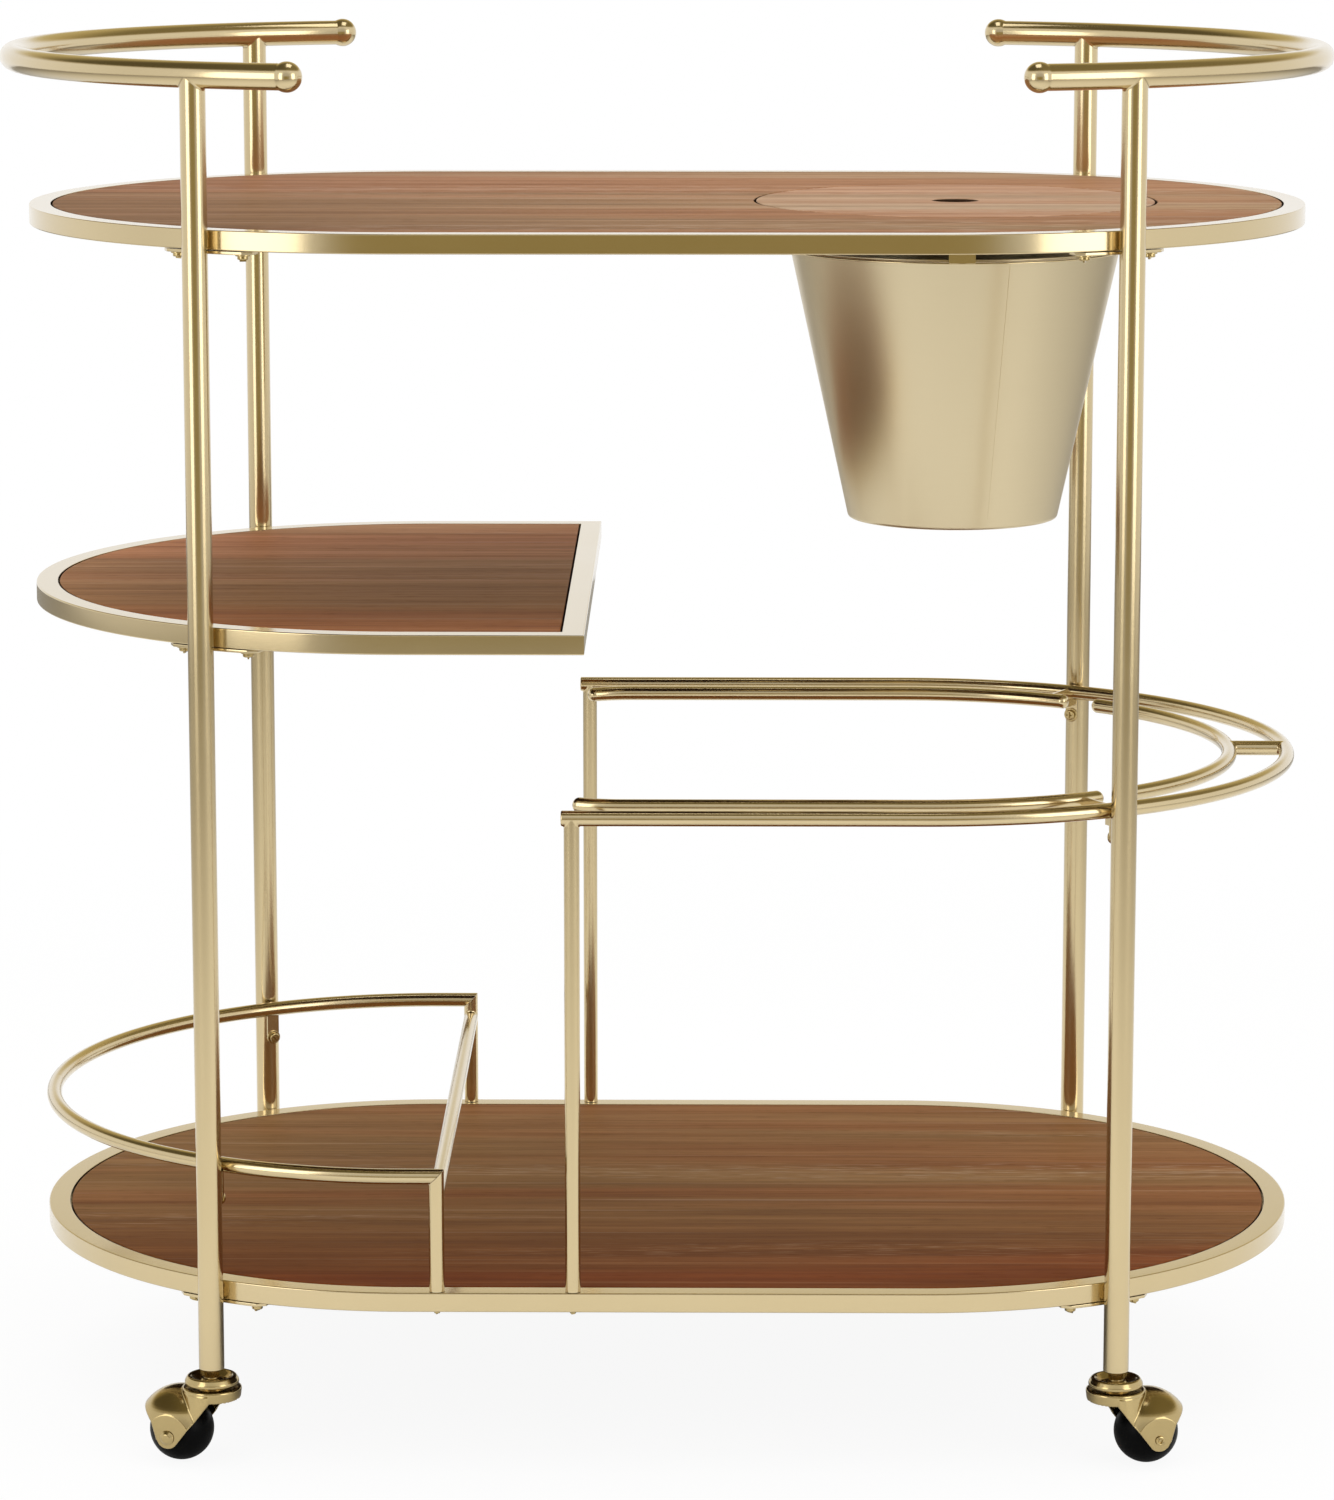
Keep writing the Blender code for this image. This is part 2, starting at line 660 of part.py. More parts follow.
def caster_plate_profile():
    """Stem, bowl, bearing race and kingpin with its rivet head, from top to bottom."""
    floor = BOWL_TOP - BOWL_DEPTH
    head_top = DISH_TOP - HOOD_WALL - SEAT_GAP
    head_bottom = head_top - KINGPIN_HEAD_HEIGHT
    return [
        (0.0, POST_BOTTOM + STEM_LENGTH),
        (STEM_RADIUS, POST_BOTTOM + STEM_LENGTH),
        (STEM_RADIUS, floor),
        (BOWL_FLOOR_RADIUS, floor),
        (BOWL_RADIUS - BOWL_LIP, BOWL_TOP),
        (BOWL_RADIUS, BOWL_TOP - BOWL_LIP / 2),
        (BOWL_RADIUS, BOWL_BOTTOM),
        (RACE_RADIUS, BOWL_BOTTOM),
        (RACE_RADIUS, DISH_TOP + SEAT_GAP),
        (KINGPIN_RADIUS, DISH_TOP + SEAT_GAP),
        (KINGPIN_RADIUS, head_top),
        (KINGPIN_HEAD_RADIUS, head_top),
        (KINGPIN_HEAD_RADIUS, head_bottom),
        (0.0, head_bottom),
    ]


def front_edge(distance, outward=0.0):
    """A point on the hood's front edge, seen along the axle, or beyond that edge."""
    across = Vector((-math.cos(FLANK_FRONT_ANGLE), -math.sin(FLANK_FRONT_ANGLE)))
    forward = Vector((-math.sin(FLANK_FRONT_ANGLE), math.cos(FLANK_FRONT_ANGLE)))
    return (FLANK_RADIUS + outward) * across + distance * forward


def flank_outline(spread):
    """The hood seen along its axle: a round foot at the axle that opens upwards."""
    start = -FLANK_REAR_ANGLE
    turn = (FLANK_FRONT_ANGLE - math.pi - start) / FLANK_ROUNDS
    foot = [start + turn * i for i in range(FLANK_ROUNDS + 1)]
    points = [(FLANK_RADIUS * math.cos(a), FLANK_RADIUS * math.sin(a)) for a in foot]
    rearward = Vector((math.sin(FLANK_REAR_ANGLE), math.cos(FLANK_REAR_ANGLE)))
    rear = Vector(points[0]) + spread * rearward
    return points + [tuple(front_edge(spread)), tuple(rear)]


def neck(name, inset=0.0, reach=0.0):
    """The flare from the dish to the hood's front edges, drawn in and reaching below them."""
    radius = DISH_RADIUS - inset
    angles = [NECK_TURN * (2 * i / NECK_STEPS - 1) for i in range(NECK_STEPS + 1)]
    points = []
    for height in (DISH_TOP - NECK_DROP - inset, DISH_TOP - DISH_HEIGHT - reach):
        points += [(radius * math.cos(a), radius * math.sin(a), height) for a in angles]
    for distance in (NECK_START, NECK_STOP):
        x, z = front_edge(distance, reach)
        for side in (-1, 1):
            points.append((CASTER_TRAIL + x, side * (NECK_HALF_WIDTH - inset), WHEEL_RADIUS + z))
    mesh = bpy.data.meshes.new(name)
    work = bmesh.new()
    for point in points:
        work.verts.new(point)
    inner = bmesh.ops.convex_hull(work, input=work.verts)["geom_interior"]
    bmesh.ops.delete(work, geom=inner, context="VERTS")
    work.to_mesh(mesh)
    work.free()
    return add_object(name, mesh)


def make_hood_mesh():
    """A stamped hood: a dome flattened at its flanks, with a neck that flares from the swivel dish."""
    axle = Matrix.Translation((CASTER_TRAIL, 0.0, WHEEL_RADIUS))
    upright = Matrix.Rotation(math.pi / 2, 4, "X")
    hood = ball("hood", HOOD_OUTER_RADIUS)
    hood.matrix_world = axle
    spread = 2 * HOOD_OUTER_RADIUS
    flank = flat("hood_flank", [flank_outline(spread)], -FLANK_OUTER, 2 * FLANK_OUTER)
    flank.matrix_world = axle @ upright @ flank.matrix_world
    combine(hood, flank, "INTERSECT")
    dish_bottom = DISH_TOP - DISH_HEIGHT
    combine(hood, neck("hood_neck"), "UNION")
    combine(hood, disc("hood_dish", DISH_RADIUS, dish_bottom, DISH_TOP), "UNION")

    hollow = ball("hood_hollow", HOOD_INNER_RADIUS)
    hollow.matrix_world = axle
    slab = box("hood_slab", (spread, 2 * FLANK_HALF_WIDTH, spread))
    slab.matrix_world = axle
    combine(hollow, slab, "INTERSECT")
    cut(hood, hollow)
    cut(hood, neck("hood_neck_hollow", HOOD_WALL, 2 * HOOD_WALL))
    recess_radius = DISH_RADIUS - HOOD_WALL
    cut(hood, disc("hood_recess", recess_radius, dish_bottom - HOOD_WALL, DISH_TOP - HOOD_WALL))
    cut(hood, disc("hood_pin_hole", KINGPIN_RADIUS + SEAT_GAP, dish_bottom, DISH_TOP + HOOD_WALL))
    bore = disc("hood_axle_hole", AXLE_RADIUS + SEAT_GAP, -spread, spread, SMALL_STEPS)
    bore.matrix_world = axle @ upright
    cut(hood, bore)
    solid = to_mesh(hood)
    mesh = solid.data
    mesh.transform(solid.matrix_world)
    bpy.data.objects.remove(solid, do_unlink=True)
    mesh.materials.append(BRASS)
    return mesh


def axle_profile():
    """A rivet: a domed head outside each flank and a plain shank between them."""
    seat = FLANK_OUTER + SEAT_GAP
    top = seat + AXLE_HEAD_HEIGHT
    shoulder = (AXLE_HEAD_SHOULDER, seat + AXLE_SHOULDER_HEIGHT)
    half = [(0.0, top), shoulder, (AXLE_HEAD_RADIUS, seat), (AXLE_RADIUS, seat)]
    return half + [(radius, -height) for radius, height in reversed(half)]


def wheel_profile():
    """A ball with flat sides, hubs that run between the flanks and a bore, as a closed loop."""
    bore = AXLE_RADIUS + RUNNING_GAP
    hub = FLANK_HALF_WIDTH - RUNNING_GAP
    side = math.asin(WHEEL_HALF_WIDTH / WHEEL_RADIUS)
    turn = 2 * side / WHEEL_ROUNDS
    angles = [side - turn * i for i in range(WHEEL_ROUNDS + 1)]
    tread = [(WHEEL_RADIUS * math.cos(a), WHEEL_RADIUS * math.sin(a)) for a in angles]
    boss = [(bore, hub), (HUB_RADIUS, hub), (HUB_RADIUS, WHEEL_HALF_WIDTH)]
    return boss + tread + [(radius, -height) for radius, height in reversed(boss)]


def make_casters():
    hood_mesh = make_hood_mesh()
    for name, (end, side) in CORNERS.items():
        place = polar(end, POST_CIRCLE, corner_angle(end, side))
        plate = turned(f"caster_plate_{name}", caster_plate_profile(), BRASS, steps=PLATE_STEPS)
        plate.location = (*place, 0.0)
        smooth(plate)

        swivel = bpy.data.objects.new(f"caster_swivel_axis_{name}", None)
        CART.objects.link(swivel)
        swivel.location = (*place, 0.0)
        swivel.rotation_euler.z = TRAIL_ANGLE if end > 0 else math.pi - TRAIL_ANGLE
        hood = bpy.data.objects.new(f"caster_hood_{name}", hood_mesh)
        CART.objects.link(hood)
        hood.parent = swivel
        smooth(hood)

        along_axle = aim((0, -1, 0), (0, 0, -1))
        centre = Matrix.Translation((CASTER_TRAIL, 0.0, WHEEL_RADIUS))
        axle = turned(f"caster_axle_{name}", axle_profile(), BRASS, steps=SMALL_STEPS)
        wheel = turned(f"caster_wheel_{name}", wheel_profile(), RUBBER, True, WHEEL_STEPS)
        for piece in (axle, wheel):
            piece.parent = swivel
            piece.matrix_local = centre @ along_axle
            smooth(piece)


make_posts()
make_handles()
make_shelf("top", TOP_SHELF, hatch=circle(BUCKET_X, HATCH_RADIUS))
make_shelf("middle", MIDDLE_SHELF, edge=MIDDLE_SHELF_EDGE)
make_shelf("bottom", BOTTOM_SHELF)
make_shelf_plates("top", TOP_SHELF, CORNERS)
make_shelf_plates("middle", MIDDLE_SHELF, ("front_left", "back_left"))
make_shelf_plates("bottom", BOTTOM_SHELF, CORNERS)
make_bucket()
make_rack()
make_gallery()
make_casters()
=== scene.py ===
import math

import bmesh
import bpy
from mathutils import Matrix, Vector


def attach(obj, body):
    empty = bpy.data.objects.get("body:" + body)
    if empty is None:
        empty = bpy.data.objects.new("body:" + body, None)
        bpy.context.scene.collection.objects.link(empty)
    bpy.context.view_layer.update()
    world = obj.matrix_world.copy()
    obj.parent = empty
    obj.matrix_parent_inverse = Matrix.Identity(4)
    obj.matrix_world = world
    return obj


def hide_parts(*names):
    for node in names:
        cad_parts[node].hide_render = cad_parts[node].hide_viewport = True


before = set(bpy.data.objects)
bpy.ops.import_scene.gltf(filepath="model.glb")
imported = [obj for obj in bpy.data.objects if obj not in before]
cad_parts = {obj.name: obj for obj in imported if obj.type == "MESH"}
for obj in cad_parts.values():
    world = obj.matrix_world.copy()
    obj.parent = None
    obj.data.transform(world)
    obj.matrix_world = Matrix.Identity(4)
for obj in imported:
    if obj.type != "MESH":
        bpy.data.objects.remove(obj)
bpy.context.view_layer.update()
scene = bpy.context.scene
corners = {"front_left": (-1, -1), "front_right": (1, -1), "back_left": (-1, 1), "back_right": (1, 1)}
sides = {"front": -1, "back": 1}
quarter = math.pi / 2
moved = Matrix.Translation
print("frame loaded:", len(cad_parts), "nodes")


# Node trees

class Value:  # one output of a node, which can stand in a sum
    def __init__(self, book, socket):
        self.book = book
        self.socket = socket

    def other(self, name):
        return Value(self.book, self.socket.node.outputs[name])

    def sum(self, operation, first, second):
        return self.book.node("ShaderNodeMath", {"operation": operation}, {0: first, 1: second})

    def __add__(self, other):
        return self.sum("ADD", self, other)

    def __sub__(self, other):
        return self.sum("SUBTRACT", self, other)

    def __rsub__(self, other):
        return self.sum("SUBTRACT", other, self)

    def __mul__(self, other):
        return self.sum("MULTIPLY", self, other)

    __radd__ = __add__
    __rmul__ = __mul__


class Book:  # a node tree, written one node at a time
    def __init__(self, tree):
        self.tree = tree

    def fill(self, node, sockets):
        for key, value in sockets.items():
            if isinstance(value, Value):
                self.tree.links.new(value.socket, node.inputs[key])
            else:
                node.inputs[key].default_value = value

    def node(self, kind, settings=None, sockets=None, out=0):
        made = self.tree.nodes.new(kind)
        for key, value in (settings or {}).items():
            if key == "stops":  # places and colours of a ramp
                ramp = made.color_ramp
                while len(ramp.elements) < len(value):
                    ramp.elements.new(0.5)
                for element, (place, colour) in zip(ramp.elements, value):
                    element.position = place
                    element.color = (*colour, 1.0)
            else:
                setattr(made, key, value)
        self.fill(made, sockets or {})
        return Value(self, made.outputs[out]) if made.outputs else made

    def mix(self, factor, first, second):
        sockets = {0: factor, 6: first, 7: second}
        return self.node("ShaderNodeMix", {"data_type": "RGBA"}, sockets, 2)

    def noise(self, place, scale, detail=2.0, stretch=(1, 1, 1), distortion=0.0):
        if stretch != (1, 1, 1):
            place = self.node("ShaderNodeMapping", None, {"Vector": place, "Scale": stretch})
        sockets = {"Vector": place, "Scale": scale, "Detail": detail, "Distortion": distortion}
        return self.node("ShaderNodeTexNoise", None, sockets)

    def ease(self, value, low, high, start=0.0, stop=1.0):
        sockets = {0: value, 1: low, 2: high, 3: start, 4: stop}
        return self.node("ShaderNodeMapRange", {"interpolation_type": "SMOOTHSTEP"}, sockets)


def newFinish(name):
    material = bpy.data.materials.new(name)
    material.use_nodes = True
    book = Book(material.node_tree)
    place = book.node("ShaderNodeTexCoord", out="Object")
    return material, book, material.node_tree.nodes["Principled BSDF"], place


def rgb(colour):
    return (*colour, 1.0)


# Finishes

goldLook = {
    "deep": (0.58, 0.463, 0.257),
    "pale": (0.67, 0.543, 0.318),
    "cloudScale": 14.0,
    "grainScale": 1500.0,
    "roughness": 0.17,
    "mottle": 0.10,
    "cloudShare": 0.65,
    "grainDepth": 0.00003,
    "grainStrength": 0.35,
    "lacquer": 0.55,
    "lacquerRoughness": 0.12,
}


def satinGold(name, look, stretch=(1, 1, 1)):
    material, book, shader, place = newFinish(name)
    cloud = book.noise(place, look["cloudScale"], 3)
    grain = book.noise(place, look["grainScale"], 2, stretch)
    sheen = look["cloudShare"] * cloud + (1 - look["cloudShare"]) * grain
    bump = {"Strength": look["grainStrength"], "Distance": look["grainDepth"], "Height": grain}
    book.fill(shader, {
        "Base Color": book.mix(sheen, rgb(look["deep"]), rgb(look["pale"])),
        "Metallic": 1.0,
        "Roughness": look["roughness"] + look["mottle"] * (sheen - 0.5),
        "Coat Weight": look["lacquer"],
        "Coat Roughness": look["lacquerRoughness"],
        "Normal": book.node("ShaderNodeBump", None, bump),
    })
    return material


bucketLook = dict(goldLook, deep=(0.655, 0.553, 0.360), pale=(0.693, 0.591, 0.394), grainScale=60.0,
                  roughness=0.31, grainDepth=0.000003, lacquer=0.0)
# the casters' brass is darker than the frame gold as painted shade, for the darker room that the hoods
# reflect; the screws share that colour
brassLook = dict(goldLook, deep=(0.46, 0.350, 0.160), pale=(0.54, 0.420, 0.205), roughness=0.17,
                 grainDepth=0.00001, lacquer=0.0)
screwLook = dict(brassLook, roughness=0.20)

walnutLook = {
    "tan": ((0.37, (0.180, 0.086, 0.033)), (0.50, (0.255, 0.129, 0.052)), (0.63, (0.335, 0.184, 0.083))),
    "red": ((0.37, (0.175, 0.063, 0.021)), (0.50, (0.255, 0.101, 0.037)), (0.63, (0.335, 0.150, 0.062))),
    "fleck": (0.47, 0.325, 0.215),
    "pore": (0.080, 0.031, 0.012),
    "edge": (0.045, 0.025, 0.014),
    # the lean lifts the tone towards the back of every panel: a painted sheen
    "lean": 0.25,
    "roughness": 0.46,
    "gloss": 0.02,
    "poreDepth": 0.00008,
    "edgeDepths": (0.0009, 0.0002),  # depths below the face between which the darker edge colour begins
    "figure": {  # detail, stretch and distortion of each noise
        "band": (3, (0.7, 11.0, 1.0), 0.4),
        "streak": (5, (1.6, 60.0, 1.0), 0.3),
        "fibre": (4, (10.0, 330.0, 1.0), 0.0),
        "pore": (2, (55.0, 900.0, 1.0), 0.0),
        "line": (2, (1.3, 130.0, 1.0), 0.0),
        "dash": (3, (36.0, 560.0, 1.0), 0.0),
        "belt": (2, (0.9, 17.0, 1.0), 0.2),  # where the dashes lie
    },
    "cuts": {"pore": (0.60, 0.72), "line": (0.60, 0.72), "dash": (0.53, 0.68), "belt": (0.52, 0.66)},
    "tone": {"band": 0.16, "streak": 0.48, "fibre": 0.36},
    "redBand": (0.42, 0.62),
    "shares": {"line": 0.26, "dash": 0.44, "pore": 0.40},
}


def walnutVeneer(name, look, slide, tint, cast, face):  # face is the height of the veneered side
    material, book, shader, place = newFinish(name)
    across = book.node("ShaderNodeSeparateXYZ", None, {0: place}, "Y")
    skin = book.ease(across.other("Z"), *[face - depth for depth in look["edgeDepths"]])
    # painted sheen and shade: the cast scales the veneer colour from near to far along one axis, paler where
    # the panel catches sheen, darker where it lies in shade
    axis, start, stop, near, far = cast
    light = book.mix(book.ease(across.other(axis), start, stop), rgb(near), rgb(far))
    place = book.node("ShaderNodeMapping", None, {"Vector": place, "Location": slide})
    figure = {part: book.noise(place, 1.0, *sizes) for part, sizes in look["figure"].items()}
    for part, limits in look["cuts"].items():
        figure[part] = book.ease(figure[part], *limits)
    pore, fibre, shares = figure["pore"], figure["fibre"], look["shares"]
    # tone rises towards the back of the panel: a painted sheen
    tone = look["lean"] * across
    for part, share in look["tone"].items():
        tone = tone + share * figure[part]
    ramps = []
    # the tint brightens or darkens the same veneer for the light on its shelf, which is painted light; on the
    # lid it is a painted sheen
    for way in ("tan", "red"):
        stops = [(spot, [a * b for a, b in zip(tint, colour)]) for spot, colour in look[way]]
        ramps.append(book.node("ShaderNodeValToRGB", {"stops": stops}, {0: tone}))
    veneer = book.mix(book.ease(figure["band"], *look["redBand"]), *ramps)
    flecks = shares["line"] * figure["line"] + shares["dash"] * figure["dash"] * figure["belt"]
    veneer = book.mix(flecks, veneer, rgb(look["fleck"]))
    veneer = book.mix(shares["pore"] * pore, veneer, rgb(look["pore"]))
    # the veneer colour is multiplied by the painted sheen and shade
    veneer = book.node("ShaderNodeVectorMath", {"operation": "MULTIPLY"}, {0: veneer, 1: light})
    bump = {"Strength": 0.4, "Distance": look["poreDepth"], "Height": 0.5 * fibre - pore}
    book.fill(shader, {
        "Base Color": book.mix(skin, rgb(look["edge"]), veneer),  # edges and underside are darker
        "Roughness": look["roughness"] + 0.16 * fibre + 0.12 * pore,
        "Specular IOR Level": look["gloss"],
        "Normal": book.node("ShaderNodeBump", None, bump),
    })
    return material


ballLook = {"deep": (0.001, 0.001, 0.001), "pale": (0.003, 0.003, 0.003), "roughness": 0.24, "gloss": 0.05,
            "scuffScale": 120.0, "grainScale": 2200.0, "grainDepth": 0.00003}


def blackRubber(name, look):
    material, book, shader, place = newFinish(name)
    scuff = book.noise(place, look["scuffScale"], 4)
    grain = book.noise(place, look["grainScale"], 1)
    bump = {"Strength": 0.2, "Distance": look["grainDepth"], "Height": grain}
    book.fill(shader, {
        "Base Color": book.mix(scuff, rgb(look["deep"]), rgb(look["pale"])),
        "Roughness": look["roughness"] + 0.16 * scuff,
        "Specular IOR Level": look["gloss"],
        "Normal": book.node("ShaderNodeBump", None, bump),
    })
    return material


frameGold = satinGold("champagneGold", goldLook)
bucketGold = satinGold("brushedBucketGold", bucketLook, (0.4, 0.4, 22.0))
casterBrass = satinGold("polishedBrass", brassLook)
screwBrass = satinGold("screwBrass", screwLook)
wheelRubber = blackRubber("blackRubber", ballLook)
print("finishes made")


# Shapes

def addPiece(name, mesh, finish, body, nodes=(), sharp=34.0):
    mesh.materials.clear()
    mesh.materials.append(finish)
    mesh.shade_smooth()
    mesh.set_sharp_from_angle(angle=math.radians(sharp))
    piece = newObject("rough", mesh)
    even = piece.modifiers.new("even", "WEIGHTED_NORMAL")  # flats stay flat beside their rounded edges
    even.keep_sharp = True
    piece = newObject(name, evaluated(piece))
    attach(piece, body)
    if nodes:
        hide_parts(*nodes)


def goldPiece(name, mesh, *nodes):
    addPiece(name, mesh, frameGold, "cart", nodes)


def toMesh(work, place=None):
    bmesh.ops.remove_doubles(work, verts=work.verts, dist=1e-7)
    bmesh.ops.recalc_face_normals(work, faces=work.faces)
    if place:
        work.transform(place)
    mesh = bpy.data.meshes.new("shape")
    work.to_mesh(mesh)
    work.free()
    return mesh


def joined(meshes):
    work = bmesh.new()
    for mesh in meshes:
        work.from_mesh(mesh)
        bpy.data.meshes.remove(mesh)
    mesh = bpy.data.meshes.new("shape")
    work.to_mesh(mesh)
    work.free()
    return mesh


def eased(points, closed=False, steps=5):  # (a, b, radius) points, each corner with a radius made round
    done = []
    count = len(points)
    for i, (a, b, radius) in enumerate(points):
        here = Vector((a, b))
        if radius == 0 or (not closed and i in (0, count - 1)):
            done.append((a, b))
            continue
        back = Vector(points[i - 1][:2]) - here
        ahead = Vector(points[(i + 1) % count][:2]) - here
        reach = min(radius / math.tan(back.angle(ahead) / 2), 0.49 * back.length, 0.49 * ahead.length)
        start = here + back.normalized() * reach
        stop = here + ahead.normalized() * reach
        for k in range(steps + 1):
            t = k / steps
            done.append(tuple(start * (1 - t) ** 2 + here * 2 * t * (1 - t) + stop * t ** 2))
    return done


def lathe(profile, steps=72, closed=False, place=None):  # (radius, height) points turned about Z
    work = bmesh.new()
    turn = 2 * math.pi / steps
    rings = []
    for radius, height in profile:
        if radius < 1e-7:
            rings.append([work.verts.new((0, 0, height))])
        else:
            rings.append([work.verts.new((radius * math.cos(turn * k), radius * math.sin(turn * k), height))
                          for k in range(steps)])
    pairs = list(zip(rings, rings[1:]))
    if closed:
        pairs.append((rings[-1], rings[0]))
    for low, high in pairs:
        for k in range(steps):
            n = k + 1
            around = [low[k % len(low)], low[n % len(low)], high[n % len(high)], high[k % len(high)]]
            around = list(dict.fromkeys(around))  # a pole counts once
            if len(around) > 2:
                work.faces.new(around)
    return toMesh(work, place)


def sphere(radius, place):
    turns = [math.pi * k / 48 for k in range(49)]
    profile = [(radius * math.sin(a), -radius * math.cos(a)) for a in turns]
    profile[0], profile[-1] = (0.0, -radius), (0.0, radius)
    return lathe(profile, 96, place=place)


def bridge(work, rows):  # faces between each closed row and the next
    for row, after in zip(rows, rows[1:]):
        for k in range(len(row)):
            n = (k + 1) % len(row)
            work.faces.new((row[k], row[n], after[n], after[k]))


def skinned(loops, ring=True):  # a closed skin through loops, which form a ring or end in flat faces
    work = bmesh.new()
    rows = [[work.verts.new(point) for point in loop] for loop in loops]
    bridge(work, rows + rows[:1] if ring else rows)
    if not ring:
        work.faces.new(rows[0])
        work.faces.new(rows[-1])
    return toMesh(work)


def plate(outlines, bottom, top, ease=0.0005, place=None):  # outlines take an inset, the first is the outside
    work = bmesh.new()
    levels = [(ease, top), (0.3 * ease, top - 0.3 * ease), (0.0, top - ease),
              (0.0, bottom + ease), (0.3 * ease, bottom + 0.3 * ease), (ease, bottom)]
    edges = {top: [], bottom: []}
    for outline in outlines:
        rows = [[work.verts.new((x, y, z)) for x, y in outline(inset)] for inset, z in levels]
        bridge(work, rows)
        for level, row in ((top, rows[0]), (bottom, rows[-1])):
            edges[level] += [work.edges.get((row[k - 1], row[k])) for k in range(len(row))]
    for rim in edges.values():
        bmesh.ops.triangle_fill(work, use_beauty=True, use_dissolve=False, edges=rim)
    return toMesh(work, place)


def newObject(name, mesh):
    obj = bpy.data.objects.new(name, mesh)
    scene.collection.objects.link(obj)
    return obj


def evaluated(obj):
    bpy.context.view_layer.update()
    graph = bpy.context.evaluated_depsgraph_get()
    mesh = bpy.data.meshes.new_from_object(obj.evaluated_get(graph))
    bpy.data.objects.remove(obj, do_unlink=True)
    return mesh


def softened(obj, voxel, rounds):  # one skin over all the shells, its inner corners filled like a weld
    remesh = obj.modifiers.new("skin", "REMESH")
    remesh.mode = "VOXEL"
    remesh.voxel_size = voxel
    soften = obj.modifiers.new("soften", "SMOOTH")
    soften.factor = 0.5
    soften.iterations = rounds
    return evaluated(obj)


def newTree(name, inputs):
    tree = bpy.data.node_groups.new(name, "GeometryNodeTree")
    tree.interface.new_socket("Geometry", in_out="INPUT", socket_type="NodeSocketGeometry")
    for title, kind in inputs.items():
        tree.interface.new_socket(title, in_out="INPUT", socket_type=kind)
    tree.interface.new_socket("Geometry", in_out="OUTPUT", socket_type="NodeSocketGeometry")
    book = Book(tree)
    return tree, book, book.node("NodeGroupInput")


def endTree(book, shape, finish):
    whole = book.node("GeometryNodeRealizeInstances", None, {"Geometry": shape})
    painted = book.node("GeometryNodeSetMaterial", None, {"Geometry": whole, "Material": finish})
    book.node("NodeGroupOutput", None, {"Geometry": painted})


def runTree(mesh, tree, values):
    holder = newObject("holder", mesh)
    modifier = holder.modifiers.new("nodes", "NODES")
    modifier.node_group = tree
    for item in tree.interface.items_tree:
        if item.in_out == "INPUT" and item.name in values:
            modifier[item.identifier] = values[item.name]
    return evaluated(holder)


tubeTree, tubeBook, tubeStart = newTree(
    "tubeAlongPath", {"Radius": "NodeSocketFloat", "Sides": "NodeSocketInt", "Finish": "NodeSocketMaterial"})
tubeLine = tubeBook.node("GeometryNodeMeshToCurve", None, {"Mesh": tubeStart})
tubeRound = tubeBook.node("GeometryNodeCurvePrimitiveCircle", {"mode": "RADIUS"}, {
    "Resolution": tubeStart.other("Sides"), "Radius": tubeStart.other("Radius")})
tubeWall = tubeBook.node("GeometryNodeCurveToMesh", None, {
    "Curve": tubeLine, "Profile Curve": tubeRound, "Fill Caps": True})
endTree(tubeBook, tubeWall, tubeStart.other("Finish"))


def tube(path, radius, sides=40):
    mesh = bpy.data.meshes.new("path")
    mesh.from_pydata(path, [(k, k + 1) for k in range(len(path) - 1)], [])
    return runTree(mesh, tubeTree, {"Radius": radius, "Sides": sides, "Finish": frameGold})


def weld(voxel, *bars):  # (path, radius) bars that meet
    stubs = joined([tube(path, radius) for path, radius in bars])
    return softened(newObject("weld", stubs), voxel, plan["weldRounds"])


# Plan of the cart

plan = {
    "endCentre": 0.1575,
    "endRadius": 0.244,
    "postAngle": math.radians(28.5),
    "tubeRadius": 0.008,
    "railRadius": 0.00475,
    "seatGap": 0.0003,
    "handleHeight": 0.851,
    "shelfTops": {"top": 0.759, "middle": 0.520, "bottom": 0.114},
    "middleEdge": -0.047,
    "arcSteps": 96,
    "overlap": 0.001,
    "railVoxel": 0.0004,
    "weldRounds": 16,
}
seatGap = plan["seatGap"]
postCircle = plan["endRadius"] + seatGap + plan["tubeRadius"]
railCircle = plan["endRadius"] - plan["railRadius"]


def polar(end, radius, angle):
    return (end * plan["endCentre"] + radius * math.cos(angle), radius * math.sin(angle))


def endArc(end, radius, start, stop, steps=plan["arcSteps"]):
    return [polar(end, radius, start + (stop - start) * k / steps) for k in range(steps + 1)]


def atHeight(points, height):
    return [(x, y, height) for x, y in points]


def postTurn(end, side):
    return math.atan2(side * math.cos(plan["postAngle"]), end * math.sin(plan["postAngle"]))


def shelfOutline(inset, edge=None):
    radius = plan["endRadius"] - inset
    left = endArc(-1, radius, quarter, 3 * quarter)
    if edge is None:
        return endArc(1, radius, -quarter, quarter) + left
    return [(edge - inset, -radius), (edge - inset, radius)] + left


def roundOutline(x, radius, inward=1, steps=120):
    turn = 2 * math.pi / steps

    def outline(inset):
        r = radius - inward * inset
        return [(x + r * math.cos(turn * k), r * math.sin(turn * k)) for k in range(steps)]
    return outline


# Posts and push handles

postShape = {"radius": 0.0078, "bottom": 0.0592, "ease": 0.0009, "stub": 0.019, "weldTurn": 0.06,
             "voxel": 0.00045}
handleShape = {"endAngle": math.radians(74.5), "ball": 0.0092, "stub": 0.007, "voxel": 0.0004, "rounds": 12}

